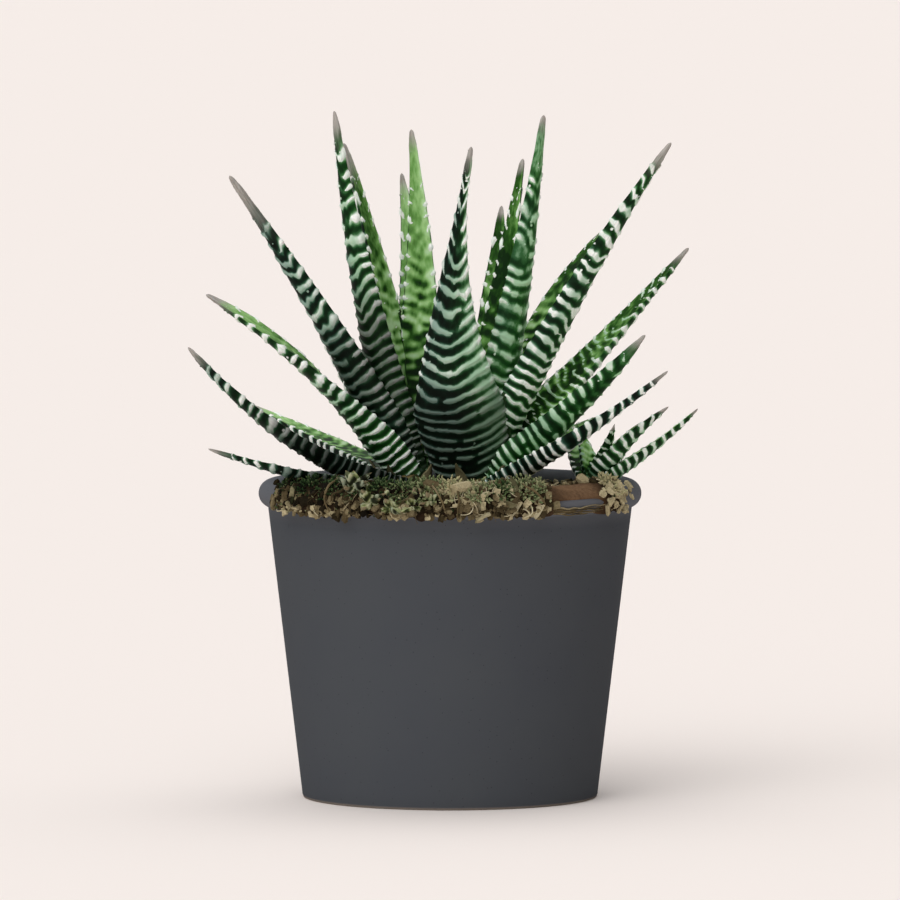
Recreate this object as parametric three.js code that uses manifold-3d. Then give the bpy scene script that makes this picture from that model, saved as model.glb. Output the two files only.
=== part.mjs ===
// Potted zebra haworthia: two grown rosettes and a young one in a round pot, as a three.js scene graph.
// Millimetres, +Z up. The origin is the centre of the pot's foot; the front of the plant faces -Y.

import * as THREE from 'three';
import { mergeVertices } from 'three/addons/utils/BufferGeometryUtils.js';
import Module from 'manifold-3d';

// Clear space kept between pieces that touch on the real plant.
const GAP = 0.3;

// Pot: a plain tapered body under a thick rolled lip.
const POT_HEIGHT = 83;
const RIM_RADIUS = 50;
const MOUTH_RADIUS = 43.5;
const LIP_HEIGHT = 7;
const BODY_TOP_RADIUS = 47.5;
const FOOT_RADIUS = 38.6;
const FOOT_ROUND = 0.8;
const WALL = 3.6;
const FLOOR = 4;
const POT_SIDES = 32;
const LIP_ARC_STEPS = 3;

// Soil: fills the pot to just below the lip and spills over the front of it.
const SOIL_LEVEL = 80;
const SOIL_HEAP = 0.6;
const SOIL_SIDES = 32;
const SOIL_ROUGHNESS = 1.1;
const HEAP_RADIUS = 33;
const HEAP_RINGS = [26, 19, 12, 6];
const SPILL_TOP = 84.8;
const SPILL_FOOT = 78.6;
const SPILL_RADIUS = 52.2;
const SPILL_SIDES = [0.06, 0.42];
const BARE_LIP_ANGLE = -0.84;
const BARE_LIP_WIDTH = 0.17;

// Bark chips and roots that lie in the top of the soil, fused to it.
const CHIP_COUNT = 26;
const CHIP_SIZE = [5.2, 3.4, 2.2];
const CHIP_TILT = 0.6;
const LITTER_REACH = 0.8;
const ROOT_COUNT = 10;
const ROOT_RADIUS = 0.75;
const ROOT_SIDES = 4;
const ROOT_STEPS = 6;

// Leaf section, from one margin over the rounded back to the other, then the hollow of the inner face.
// Across is a share of half the width and out is a share of the thickness.
const SECTION_ACROSS = [1, 0.64, 0, -0.64, -1, 0];
const SECTION_OUT = [0, 0.74, 1, 0.74, 0, 0.14];
const SECTION_MIDDLE = 0.4;
const STEM_SHARE = 0.8;
const WIDEST = 0.2;
const TAPER_POWER = 0.8;
const TIP_WIDTH = 0.9;
const TIP_THICKNESS = 0.8;

// Raised white bands across the back of each leaf.
const RIDGE_STEP = 8;
const RIDGE_HEIGHT = 0.42;
const TOOTH_HEIGHT = 0.3;
const RIDGES_START = 0.12;
const RIDGES_END = 0.9;

// A leaf is cut to clear a smooth, coarser form of each leaf inside it, larger by the bands and the gap.
const CLEAR_RINGS = 10;
const CLEAR_GROWTH = GAP + RIDGE_HEIGHT;

// Short stems, each with a few dry leaf bases in the soil round its foot.
const STEM_SIDES = 12;
const STEM_DEPTH = 16;
const DRY_SCALES = 5;
const DRY_SCALE_LENGTH = 11;
const DRY_SCALE_WIDTH = 5.4;
const DRY_SCALE_THICKNESS = 1.4;
const DRY_SCALE_SINK = 4;

const STEMS = {
  left: { x: -10.5, y: 5, radius: 4.6, top: 92 },
  right: { x: 7.6, y: -4, radius: 4.6, top: 92 },
  pup: { x: 37, y: -9, radius: 2.8, top: 86.5 },
};

// The broad front leaf is widest higher up and tapers faster, and one leaf turns over along its length.
const BROAD = { widest: 0.29, taper: 1.45 };
const TWISTED = { roll: 45, twist: -90 };

// One row for each leaf: from is the height on the stem where it starts, via is the middle of its
// centre line, and roll and twist turn its inner face, in degrees, all the way and more towards the tip.
// In each rosette the inner leaves come first, because the outer ones are cut to clear them.
const LEAVES = {
  left: [
    { from: 85, via: [-22.2, -1, 130], tip: [-30.2, -3, 179.4], width: 12, thick: 5, roll: 25 },
    { from: 89, via: [-7.8, 14, 130], tip: [-10.2, 22, 173.5], width: 12.5, thick: 4.6 },
    { from: 87, via: [-17, 10, 128], tip: [-27.9, 18, 170.1], width: 12.5, thick: 4.6 },
    { from: 86, via: [-9.5, 25, 124], tip: [-12.8, 36, 161.4], width: 12, thick: 4.8 },
    { from: 83, via: [-31, -5, 121.5], tip: [-57.2, -18, 163.2], width: 12.6, thick: 5, roll: 20 },
    { from: 84, via: [-2, 33, 107], tip: [3, 54, 132], width: 12, thick: 4.8 },
    { from: 84, via: [-28, 24, 112.5], tip: [-45, 38, 143.8], width: 12, thick: 4.8 },
    { from: 81.5, via: [-34.5, -2, 109.8], tip: [-63.7, 2, 131.2], width: 13.5, thick: 4.8, ...TWISTED },
    { from: 82, via: [-12, 38, 91], tip: [-14, 62, 108], width: 11.5, thick: 4.8 },
    { from: 81, via: [-40, -9, 93.3], tip: [-67.9, -20, 118.8], width: 11.5, thick: 5 },
    { from: 81, via: [-34, 29, 91], tip: [-54, 44, 100], width: 11, thick: 4.6 },
    { from: 80, via: [-36, -21, 85.2], tip: [-62.4, -34, 93.4], width: 10, thick: 3.8 },
  ],
  right: [
    { from: 87, via: [16.9, -5, 127.4], tip: [24.4, -10, 178.6], width: 13.5, thick: 4.6, roll: -30 },
    { from: 89, via: [12.8, 7, 124], tip: [19.1, 16, 166.1], width: 12, thick: 4.6 },
    { from: 87, via: [11, 16, 121], tip: [13.6, 28, 153.2], width: 12, thick: 4.6 },
    { from: 81, via: [0.8, -15, 119.5], tip: [5.5, -24, 171], width: 24, thick: 6.4, ...BROAD },
    { from: 83, via: [32, -9, 130.8], tip: [57.4, -14, 171.6], width: 12, thick: 4.6, roll: -30 },
    { from: 84, via: [15, 27, 116], tip: [17, 44, 149], width: 12, thick: 4.8 },
    { from: 84, via: [26, 20, 125], tip: [44, 34, 148.6], width: 12, thick: 4.8 },
    { from: 82, via: [35, 3, 112], tip: [62.4, 6, 143.2], width: 14, thick: 5, roll: 35, twist: -20 },
    { from: 82, via: [14, 36, 97], tip: [22, 62, 117], width: 12, thick: 4.8 },
    { from: 82, via: [29, 24, 106], tip: [46, 40, 121.4], width: 12, thick: 4.8 },
    { from: 80.5, via: [32.5, -12, 102.4], tip: [50.7, -17, 121.8], width: 12, thick: 4.8, roll: -30 },
    { from: 81, via: [28, 28, 90.5], tip: [43, 47, 97.4], width: 11, thick: 4.6 },
    { from: 80, via: [34, -20, 96.4], tip: [56.4, -26, 113], width: 9.5, thick: 4.4 },
  ],
  pup: [
    { from: 84, via: [40.4, -11, 91], tip: [42.8, -14, 98.5], width: 5.6, thick: 2.6 },
    { from: 84, via: [35.2, -6, 91], tip: [33, -3, 98], width: 5.6, thick: 2.6 },
    { from: 83, via: [46.6, -14, 94.4], tip: [56.7, -19, 103.3], width: 8.4, thick: 3.4 },
    { from: 82.5, via: [51.5, -10, 91.4], tip: [64.5, -10, 102.2], width: 8, thick: 3.4 },
    { from: 82.5, via: [44, 2, 90.4], tip: [50, 12, 97], width: 8, thick: 3.4 },
    { from: 82.5, via: [33, 1, 91], tip: [31, 10, 98], width: 7.6, thick: 3.2 },
  ],
};

// Finishes of the matte pot, the dull soil and stems, and the waxy leaves.
const POT_FINISH = { color: 0x48494d, roughness: 0.55, metalness: 0 };
const SOIL_FINISH = { color: 0x5a4230, roughness: 0.95, metalness: 0 };
const STEM_FINISH = { color: 0x8a7a52, roughness: 0.85, metalness: 0 };
const LEAF_FINISH = { color: 0x2c5c34, roughness: 0.45, metalness: 0 };

const SOIL_SEED = 11;
const CHIP_SEED = 23;
const ROOT_SEED = 37;
const SCALE_SEED = 51;
const MERGE_DISTANCE = 1e-4;
const SIMPLIFY_DISTANCE = 0.03;

const wasm = await Module();
wasm.setup();

// A repeatable random number between 0 and 1 at each call.
function seededRandom(seed) {
  let state = seed >>> 0;
  return () => {
    state = (Math.imul(state, 1664525) + 1013904223) >>> 0;
    return state / 4294967296;
  };
}

// The same geometry with each shared vertex held once.
function welded(geometry) {
  const bare = geometry.clone();
  bare.deleteAttribute('normal');
  bare.deleteAttribute('uv');
  return mergeVertices(bare, MERGE_DISTANCE);
}

// A closed geometry as a solid that can be joined and cut.
function toSolid(geometry) {
  const merged = welded(geometry);
  const corners = merged.index.array;
  const triangles = [];
  for (let i = 0; i < corners.length; i += 3) {
    const [a, b, c] = [corners[i], corners[i + 1], corners[i + 2]];
    if (a !== b && b !== c && c !== a) {
      triangles.push(a, b, c);
    }
  }
  const vertProperties = new Float32Array(merged.attributes.position.array);
  const triVerts = new Uint32Array(triangles);
  return new wasm.Manifold(new wasm.Mesh({ numProp: 3, vertProperties, triVerts }));
}

function toGeometry(solid) {
  const { vertProperties, triVerts } = solid.getMesh();
  const geometry = new THREE.BufferGeometry();
  geometry.setAttribute('position', new THREE.BufferAttribute(vertProperties, 3));
  geometry.setIndex(new THREE.BufferAttribute(triVerts, 1));
  geometry.computeVertexNormals();
  return geometry;
}

// The largest body that is left after a cut; loose scraps are dropped.
function largestBody(solid) {
  const bodies = solid.simplify(SIMPLIFY_DISTANCE).decompose();
  return bodies.reduce((best, body) => (body.volume() > best.volume() ? body : best));
}

function boxesMeet(a, b) {
  const first = a.boundingBox();
  const second = b.boundingBox();
  return [0, 1, 2].every((k) => first.min[k] < second.max[k] && second.min[k] < first.max[k]);
}

// Moves every vertex of a geometry by a function of its place.
function reshape(geometry, place) {
  const positions = geometry.attributes.position;
  const point = new THREE.Vector3();
  for (let i = 0; i < positions.count; i += 1) {
    point.fromBufferAttribute(positions, i);
    place(point);
    positions.setXYZ(i, point.x, point.y, point.z);
  }
  return geometry;
}

// A profile of [radius, height] turned round the Z axis.
function turned(points, sides) {
  const lathe = new THREE.LatheGeometry(points, sides);
  lathe.rotateX(Math.PI / 2);
  return lathe;
}

// The pot's outline with every wall moved outwards by grow, from the foot up, over the lip and inside.
function potOutline(grow) {
  const lipRound = LIP_HEIGHT / 2;
  const lipMiddle = POT_HEIGHT - lipRound;
  const outer = RIM_RADIUS - lipRound;
  const inner = MOUTH_RADIUS + lipRound;
  const arc = lipRound + grow;
  const outline = new THREE.Path();
  outline.moveTo(0, -grow);
  outline.lineTo(FOOT_RADIUS - FOOT_ROUND + grow, -grow);
  outline.lineTo(FOOT_RADIUS + grow, FOOT_ROUND);
  outline.lineTo(BODY_TOP_RADIUS + grow, POT_HEIGHT - LIP_HEIGHT - grow);
  outline.absarc(outer, lipMiddle, arc, -Math.PI / 3, Math.PI / 2, false);
  outline.absarc(inner, lipMiddle, arc, Math.PI / 2, Math.PI, false);
  outline.lineTo(BODY_TOP_RADIUS - WALL - grow, POT_HEIGHT - LIP_HEIGHT - WALL);
  outline.lineTo(FOOT_RADIUS - WALL - grow, FLOOR + grow);
  outline.lineTo(0, FLOOR + grow);
  return outline.getPoints(LIP_ARC_STEPS);
}

function potSolid(grow) {
  return toSolid(turned(potOutline(grow), POT_SIDES));
}

// How far the soil reaches over the lip at an angle round the pot, from 0 to 1.
// The front is covered but for one bare stretch of lip on the right.
function spillReach(angle) {
  const front = Math.cos(angle + Math.PI / 2);
  const covered = THREE.MathUtils.smoothstep(front, ...SPILL_SIDES);
  const bare = Math.exp(-(((angle - BARE_LIP_ANGLE) / BARE_LIP_WIDTH) ** 2));
  return covered * (1 - bare);
}

// How high the soil rises inside the heap, which is highest in the middle.
function heapHeight(radius) {
  return SOIL_HEAP * (1 - (radius / HEAP_RADIUS) ** 2);
}

// The soil fills the pot, rises a little towards the middle, and is drawn out over the lip.
function soilBody() {
  const reachRadius = MOUTH_RADIUS - 3 * GAP;
  const underside = FLOOR + 1.2 * GAP;
  const outline = [
    new THREE.Vector2(0, underside),
    new THREE.Vector2(FOOT_RADIUS - WALL - 2 * GAP, underside),
    new THREE.Vector2(reachRadius - 0.6, SPILL_FOOT - 6),
    new THREE.Vector2(SPILL_RADIUS - 0.8, SPILL_FOOT - 0.5),
    new THREE.Vector2(SPILL_RADIUS, SPILL_FOOT + 2.5),
    new THREE.Vector2(SPILL_RADIUS - 1, SPILL_TOP - 4),
    new THREE.Vector2(SPILL_RADIUS - 3.6, SPILL_TOP - 0.6),
    new THREE.Vector2(SPILL_RADIUS - 7.6, SPILL_TOP),
    new THREE.Vector2((HEAP_RADIUS + MOUTH_RADIUS) / 2, SPILL_TOP - 2.4),
    new THREE.Vector2(HEAP_RADIUS, SOIL_LEVEL),
    ...HEAP_RINGS.map((radius) => new THREE.Vector2(radius, SOIL_LEVEL)),
    new THREE.Vector2(0, SOIL_LEVEL),
  ];
  const random = seededRandom(SOIL_SEED);
  const body = welded(turned(outline, SOIL_SIDES));
  return toSolid(reshape(body, (point) => {
    const radius = Math.hypot(point.x, point.y);
    const angle = Math.atan2(point.y, point.x);
    const rough = random() - 0.5;
    const sway = random() - 0.5;
    const isTop = point.z > SPILL_FOOT - 1;
    const isHeap = radius < HEAP_RADIUS - 1;
    const reach = spillReach(angle);
    if (isTop && !isHeap) {
      const heldRadius = Math.min(radius, reachRadius + (radius - MOUTH_RADIUS) * 0.02);
      const heldHeight = Math.min(point.z, SOIL_LEVEL + (point.z - SPILL_TOP) * 0.4);
      const scale = THREE.MathUtils.lerp(heldRadius, radius, reach) / radius;
      point.x *= scale;
      point.y *= scale;
      point.z = THREE.MathUtils.lerp(heldHeight, point.z, reach);
    }
    if (isTop) {
      point.z += 2 * rough * SOIL_ROUGHNESS + (isHeap ? heapHeight(radius) : 0);
    }
    if (isTop && radius > 1 && (radius < HEAP_RADIUS + 3 || reach > 0.5)) {
      point.x += sway * SOIL_ROUGHNESS * Math.cos(angle);
      point.y += sway * SOIL_ROUGHNESS * Math.sin(angle);
    }
  }));
}

// The height of the soil at a place, for what lies on it.
function soilHeight(x, y) {
  const radius = Math.hypot(x, y);
  if (radius < HEAP_RADIUS) {
    return SOIL_LEVEL + heapHeight(radius);
  }
  const reach = spillReach(Math.atan2(y, x));
  const brow = THREE.MathUtils.smoothstep(radius, HEAP_RADIUS, MOUTH_RADIUS) * (SPILL_TOP - SOIL_LEVEL);
  return SOIL_LEVEL + reach * brow;
}

// Bark chips: flat blocks tipped at random, every second one on the soil along the front of the lip.
function barkChips() {
  const random = seededRandom(CHIP_SEED);
  const tilt = () => CHIP_TILT * (2 * random() - 1);
  const chips = [];
  for (let i = 0; i < CHIP_COUNT; i += 1) {
    const onLip = i % 2 === 0;
    const angle = onLip ? Math.PI * (1.08 + 0.84 * random()) : Math.PI * 2 * random();
    const radius = onLip ? MOUTH_RADIUS - 0.5 + 7.5 * random() : 12 + 26 * random();
    const size = 0.65 + 0.7 * random();
    const chip = new THREE.BoxGeometry(...CHIP_SIZE.map((edge) => edge * size));
    const turn = new THREE.Euler(tilt(), tilt(), random() * Math.PI);
    chip.applyMatrix4(new THREE.Matrix4().makeRotationFromEuler(turn));
    const [x, y] = [radius * Math.cos(angle), radius * Math.sin(angle)];
    chip.translate(x, y, soilHeight(x, y) - 0.3 + 0.8 * random());
    if (!onLip || spillReach(angle) > LITTER_REACH) {
      chips.push(toSolid(chip));
    }
  }
  return chips;
}

// Roots: thin strands that rise out of the soil, arch over the lip and hang down its front.
function roots() {
  const random = seededRandom(ROOT_SEED);
  const section = new THREE.Shape(
    Array.from({ length: ROOT_SIDES }, (_, k) => {
      const angle = (k / ROOT_SIDES) * Math.PI * 2;
      return new THREE.Vector2(ROOT_RADIUS * Math.cos(angle), ROOT_RADIUS * Math.sin(angle));
    }),
  );
  const strands = [];
  for (let i = 0; i < ROOT_COUNT; i += 1) {
    const angle = Math.PI * (1.12 + (0.76 * (i + 0.6 * random())) / ROOT_COUNT);
    const swing = (random() - 0.5) * 0.5;
    const drop = SPILL_FOOT + 5 * random() - 2.5;
    const place = (radius, turn, height) =>
      new THREE.Vector3(radius * Math.cos(angle + turn), radius * Math.sin(angle + turn), height);
    const path = new THREE.CatmullRomCurve3([
      place(HEAP_RADIUS + 5, 0, SPILL_TOP - 5),
      place(MOUTH_RADIUS + 0.5, swing * 0.3, SPILL_TOP + 0.6),
      place(RIM_RADIUS + 0.5, swing * 0.7, SPILL_TOP - 0.4),
      place(SPILL_RADIUS + 1, swing, (SPILL_TOP + drop) / 2),
      place(SPILL_RADIUS - 0.6, swing * 1.2, drop),
    ]);
    const reaches = [angle, angle + swing * 1.2].map(spillReach);
    if (Math.min(...reaches) > LITTER_REACH) {
      const strand = { steps: ROOT_STEPS, extrudePath: path, bevelEnabled: false };
      strands.push(toSolid(new THREE.ExtrudeGeometry(section, strand)));
    }
  }
  return strands;
}

// The frame of a leaf: its centre line, and which way its back faces.
function leafFrame(stem, row) {
  const base = new THREE.Vector3(stem.x, stem.y, row.from);
  const via = new THREE.Vector3(...row.via);
  const tip = new THREE.Vector3(...row.tip);
  const pull = via.clone().multiplyScalar(2).sub(base.clone().add(tip).multiplyScalar(0.5));
  const curve = new THREE.QuadraticBezierCurve3(base, pull, tip);
  const chord = tip.clone().sub(base).normalize();
  const away = new THREE.Vector3(chord.x, chord.y, 0);
  const lean = away.length();
  const back = away.normalize().multiplyScalar(chord.z).setZ(-lean);
  const across = back.clone().cross(chord);
  return { curve, chord, across, length: curve.getLength() };
}

// Narrow at the stem, widest a little way up, then an even taper to a fine tip.
function leafSpread(s, row) {
  const widest = row.widest ?? WIDEST;
  const rise = THREE.MathUtils.smoothstep(s, 0, widest);
  const taper = s < widest ? 1 : ((1 - s) / (1 - widest)) ** (row.taper ?? TAPER_POWER);
  return (STEM_SHARE + (1 - STEM_SHARE) * rise) * taper;
}

// A leaf as one closed solid with raised bands across its back, or the smooth form that clears it.
function leafSolid(stem, row, isClearance) {
  const { curve, chord, across, length } = leafFrame(stem, row);
  const corners = SECTION_ACROSS.length;
  const rings = isClearance ? CLEAR_RINGS : 2 * Math.round(length / RIDGE_STEP);
  const grow = isClearance ? CLEAR_GROWTH : 0;
  const blade = new THREE.CylinderGeometry(1, 1, 1, corners, rings);
  return toSolid(reshape(blade, (point) => {
    const s = point.y + 0.5;
    const isRim = Math.hypot(point.x, point.z) > 0.5;
    const turn = Math.atan2(point.x, point.z) / (Math.PI * 2);
    const corner = (Math.round(turn * corners) + corners) % corners;
    const centre = curve.getPoint(s);
    const along = curve.getTangent(s);
    const roll = THREE.MathUtils.degToRad((row.roll ?? 0) + (row.twist ?? 0) * s);
    const side = across.clone().applyAxisAngle(chord, roll);
    side.addScaledVector(along, -side.dot(along)).normalize();
    const out = along.clone().cross(side);
    const spread = leafSpread(s, row);
    const isRidge = !isClearance && Math.round(s * rings) % 2 === 1 && s > RIDGES_START && s < RIDGES_END;
    const ridge = isRidge ? Math.min(1, spread * 1.6) : 0;
    const halfWidth = Math.max(row.width * spread, TIP_WIDTH) / 2 + 2 * grow + ridge * TOOTH_HEIGHT;
    const thickness = Math.max(row.thick * spread, TIP_THICKNESS);
    const shareOut = isRim ? SECTION_OUT[corner] : SECTION_MIDDLE;
    const shareAcross = isRim ? SECTION_ACROSS[corner] : 0;
    const isBack = isRim && SECTION_OUT[corner] > 0.5;
    const lift = isBack ? grow + ridge * RIDGE_HEIGHT : -0.8 * grow;
    const isRoot = isClearance && s < 0.01;
    point.copy(centre).addScaledVector(along, isRoot ? -GAP : 0);
    point.addScaledVector(side, shareAcross * halfWidth);
    point.addScaledVector(out, (shareOut - SECTION_MIDDLE) * thickness + lift);
  }));
}

// A stem: a slim post with a domed top, round the Z axis at its place in the soil.
function stemCore(stem, grow) {
  const radius = stem.radius + grow;
  const outline = [
    new THREE.Vector2(0, SOIL_LEVEL - STEM_DEPTH - grow),
    new THREE.Vector2(radius * 0.7, SOIL_LEVEL - STEM_DEPTH - grow),
    new THREE.Vector2(radius, SOIL_LEVEL),
    new THREE.Vector2(radius * 0.86, stem.top - radius * 0.8),
    new THREE.Vector2(radius * 0.5, stem.top - radius * 0.2 + grow),
    new THREE.Vector2(0, stem.top + grow),
  ];
  const post = turned(outline, STEM_SIDES);
  post.translate(stem.x, stem.y, 0);
  return toSolid(post);
}

// Dry leaf bases: flat pointed scraps that lean outwards in the soil round the foot of a stem.
function dryScales(stem, seed) {
  const random = seededRandom(seed);
  const share = stem.radius / STEMS.left.radius;
  const scales = [];
  for (let i = 0; i < DRY_SCALES; i += 1) {
    const angle = ((i + 0.6 * random()) / DRY_SCALES) * Math.PI * 2;
    const lean = 0.5 + 0.5 * random();
    const length = DRY_SCALE_LENGTH * share * (0.8 + 0.4 * random());
    const scale = new THREE.ConeGeometry(DRY_SCALE_WIDTH / 2, length, 4);
    scale.scale(1, 1, DRY_SCALE_THICKNESS / DRY_SCALE_WIDTH);
    scale.rotateX(Math.PI / 2);
    scale.rotateZ(Math.PI / 2);
    scale.translate(0, 0, length / 2 - DRY_SCALE_SINK);
    scale.rotateY(lean);
    scale.translate(stem.radius + 1.5, 0, SOIL_LEVEL);
    scale.rotateZ(angle);
    scale.translate(stem.x, stem.y, 0);
    scales.push(toSolid(scale));
  }
  return scales;
}

function meshOf(name, solid, finish) {
  const mesh = new THREE.Mesh(toGeometry(solid), new THREE.MeshStandardMaterial(finish));
  mesh.name = name;
  return mesh;
}

// Every leaf, cut to clear its stem and the leaves that come before it.
const leaves = [];
for (const [place, stem] of Object.entries(STEMS)) {
  for (const [i, row] of LEAVES[place].entries()) {
    const name = `leaf_${place}_${String(i + 1).padStart(2, '0')}`;
    leaves.push({ name, stem, full: leafSolid(stem, row, false), grown: leafSolid(stem, row, true) });
  }
}
const stemCores = Object.values(STEMS).map((stem) => stemCore(stem, GAP));
const potRoom = potSolid(GAP);
for (const [i, leaf] of leaves.entries()) {
  const inTheWay = [...stemCores, potRoom, ...leaves.slice(0, i).map((other) => other.grown)];
  const near = inTheWay.filter((other) => boxesMeet(leaf.full, other));
  leaf.cut = largestBody(near.reduce((solid, other) => solid.subtract(other), leaf.full));
}

// Soil with its chips and roots, cut to clear the pot, the stems and the leaves.
const scales = Object.values(STEMS).flatMap((stem, i) => dryScales(stem, SCALE_SEED + i));
const litter = [...barkChips(), ...roots(), ...scales];
const heap = litter.reduce((solid, piece) => solid.add(piece), soilBody());
const soilCutters = [potRoom, ...stemCores, ...leaves.map((leaf) => leaf.grown)];
const soil = largestBody(soilCutters.reduce((solid, other) => solid.subtract(other), heap));

const plant = new THREE.Group();
plant.add(meshOf('pot', potSolid(0), POT_FINISH));
plant.add(meshOf('soil', soil, SOIL_FINISH));
for (const [place, stem] of Object.entries(STEMS)) {
  plant.add(meshOf(`stem_${place}`, stemCore(stem, 0), STEM_FINISH));
}
for (const leaf of leaves) {
  plant.add(meshOf(leaf.name, leaf.cut, LEAF_FINISH));
}

export default plant;
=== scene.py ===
"""Looks of a potted zebra haworthia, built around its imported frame.

Blender works in metres with +Z up, and the front of the plant faces -Y. The sizes below are in
millimetres, the way that a maker would measure them, and each mesh is turned to metres as it is made.
"""

import logging
import math
from dataclasses import dataclass, field
from enum import Enum
from functools import partial
from itertools import product

import bmesh
import bpy
import numpy as np
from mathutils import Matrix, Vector


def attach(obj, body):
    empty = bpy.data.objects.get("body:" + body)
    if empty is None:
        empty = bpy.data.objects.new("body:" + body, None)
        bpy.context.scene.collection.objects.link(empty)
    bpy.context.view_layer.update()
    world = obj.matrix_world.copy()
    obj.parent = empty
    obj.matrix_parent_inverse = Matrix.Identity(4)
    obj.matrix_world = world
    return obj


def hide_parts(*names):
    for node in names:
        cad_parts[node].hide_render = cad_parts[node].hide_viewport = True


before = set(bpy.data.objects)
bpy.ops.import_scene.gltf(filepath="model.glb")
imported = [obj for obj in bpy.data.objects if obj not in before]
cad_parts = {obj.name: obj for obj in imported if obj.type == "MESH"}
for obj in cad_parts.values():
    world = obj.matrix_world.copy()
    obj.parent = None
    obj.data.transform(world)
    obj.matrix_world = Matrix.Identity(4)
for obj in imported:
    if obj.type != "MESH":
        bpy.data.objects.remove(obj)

LOG = logging.getLogger("haworthia")
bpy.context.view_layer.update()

Array = np.ndarray
Values = np.ndarray | float
Material = bpy.types.Material
Object = bpy.types.Object
Socket = bpy.types.NodeSocket
Tree = bpy.types.NodeTree

MM = 0.001
BODY = "root"
TURN = 2 * math.pi
ANY_WAY = 6.3  # a draw up to a little over a full turn, for any direction
UP = np.array([0.0, 0.0, 1.0])
ASKEW = [0.37, 0.81, 0.45]  # a way that no surface here faces
TINY = 1e-12

# A colour Mix node's lower and upper colour, its setting, and the output that each kind of node is read at.
MIX_A, MIX_B = 6, 7
COLOUR_MIX = {"data_type": "RGBA"}
USUAL_OUTPUT = {"Mix": 2, "Attribute": "Fac", "TexCoord": "Object"}

# The noise stirs whole numbers with these, and the draw steps from one number to the next.
HASH_PRIMES = np.array([374761393, 668265263, 1103515245])
HASH_SEED = 974634777
HASH_STIR = 1274126177
HASH_MASK = 0xFFFFFFFF
DRAW_FACTOR, DRAW_STEP, DRAW_SPAN = 1664525, 1013904223, 2**32
GOLDEN = 0.618  # spreads a row of numbers evenly


class Slot(Enum):
    """The record's material slots."""

    POT = "pot"
    SOIL = "soil"
    STEM = "stem"
    LEAF = "leaf"


def linear(code: str) -> tuple[float, ...]:
    """Turns an sRGB hex colour, such as "#48494d", to linear red, green and blue with an alpha of 1."""
    shares = (int(code[i : i + 2], 16) / 255 for i in (1, 3, 5))
    return (*(c / 12.92 if c <= 0.04045 else ((c + 0.055) / 1.055) ** 2.4 for c in shares), 1.0)


def smooth(value: Values, low: float, high: float) -> Array:
    """Rises smoothly from 0 at low to 1 at high, or falls where high is under low."""
    share = np.clip((np.asarray(value, float) - low) / (high - low), 0, 1)
    return share * share * (3 - 2 * share)


def unit(vectors: Array) -> Array:
    """Gives vectors a length of 1."""
    return vectors / np.maximum(np.linalg.norm(vectors, axis=-1, keepdims=True), TINY)


def circle(sides: int) -> Array:
    """Gives the angles of the places round a ring."""
    return np.linspace(0, TURN, sides + 1)[:-1]


def around(angle: Values, radius: Values, height: Values) -> Array:
    """Gives points at an angle, a radius and a height about the Z axis."""
    return np.stack(np.broadcast_arrays(radius * np.cos(angle), radius * np.sin(angle), height), -1)


def along_line(line: Array, steps: Values) -> Array:
    """Reads a line of radii and heights at steps along its points."""
    return np.stack([np.interp(steps, np.arange(len(line)), line[:, k]) for k in (0, 1)], -1)


def noise(points: Array, seed: int) -> Array:
    """Smooth value noise, one cell to a unit.

    Args:
        points: Places, with the three coordinates last.
        seed: Which field of noise to read.

    Returns:
        A value from -1 to 1 at each place.
    """
    cell = np.floor(points).astype(np.int64)
    part = points - cell
    part = part * part * (3 - 2 * part)
    total = np.zeros(points.shape[:-1])
    for corner in np.ndindex(2, 2, 2):
        key = ((cell + corner) * HASH_PRIMES).sum(-1) + seed * HASH_SEED & HASH_MASK
        key = (key ^ key >> 13) * HASH_STIR & HASH_MASK
        value = ((key ^ key >> 16) & 0xFFFF) / 0x7FFF - 1
        total += value * np.where(corner, part, 1 - part).prod(-1)
    return total


def noise_at(x: Values, y: Values, z: Values, seed: int) -> Array:
    """Reads the noise at places given as three separate coordinates."""
    return noise(np.stack(np.broadcast_arrays(x, y, z), -1), seed)


def wobble(points: Array, apart: float, seed: int) -> Array:
    """Reads three fields of noise as one vector at each place."""
    return np.stack([noise(points + k * apart, seed + k) for k in range(3)], -1)


def spokes(along: Array, hint: Array, angles: Array) -> Array:
    """Gives directions out from a line, or from each of several, at angles about it."""
    side = unit(np.cross(along, hint))[..., None, :]
    return side * np.cos(angles)[:, None] - np.cross(side, along[..., None, :]) * np.sin(angles)[:, None]


def facing(normal: Array, spin: float, tilt: float, sway: float) -> Array:
    """Makes a rotation whose last column faces near the normal.

    Args:
        normal: The direction that the surface faces.
        spin: The turn about it.
        tilt: How far the last column leans from it.
        sway: The direction of that lean.

    Returns:
        The rotation, as rows of three.
    """
    side = unit(np.cross(normal, ASKEW))
    lean = unit(normal + math.tan(tilt) * (side * math.cos(sway) + np.cross(normal, side) * math.sin(sway)))
    first = unit(np.cross(lean, [math.cos(spin), math.sin(spin), 0.3]))
    return np.stack([first, np.cross(lean, first), lean], 1)


def curve(points: Array, count: int) -> Array:
    """Draws a smooth curve through points, each bend eased by the points on both sides.

    Args:
        points: The points.
        count: How many points to give back.

    Returns:
        Points along the curve.
    """
    padded = np.concatenate([[2 * points[0] - points[1]], points, [2 * points[-1] - points[-2]]])
    run = np.linspace(0, len(points) - 1 - 1e-9, count)
    knot = np.floor(run).astype(int)
    t = (run - knot)[:, None]
    a, b, c, d = (padded[knot + k] for k in range(4))
    return 0.5 * (2 * b + (c - a) * t + (2 * a - 5 * b + 4 * c - d) * t**2 + (3 * b - a - 3 * c + d) * t**3)


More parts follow.
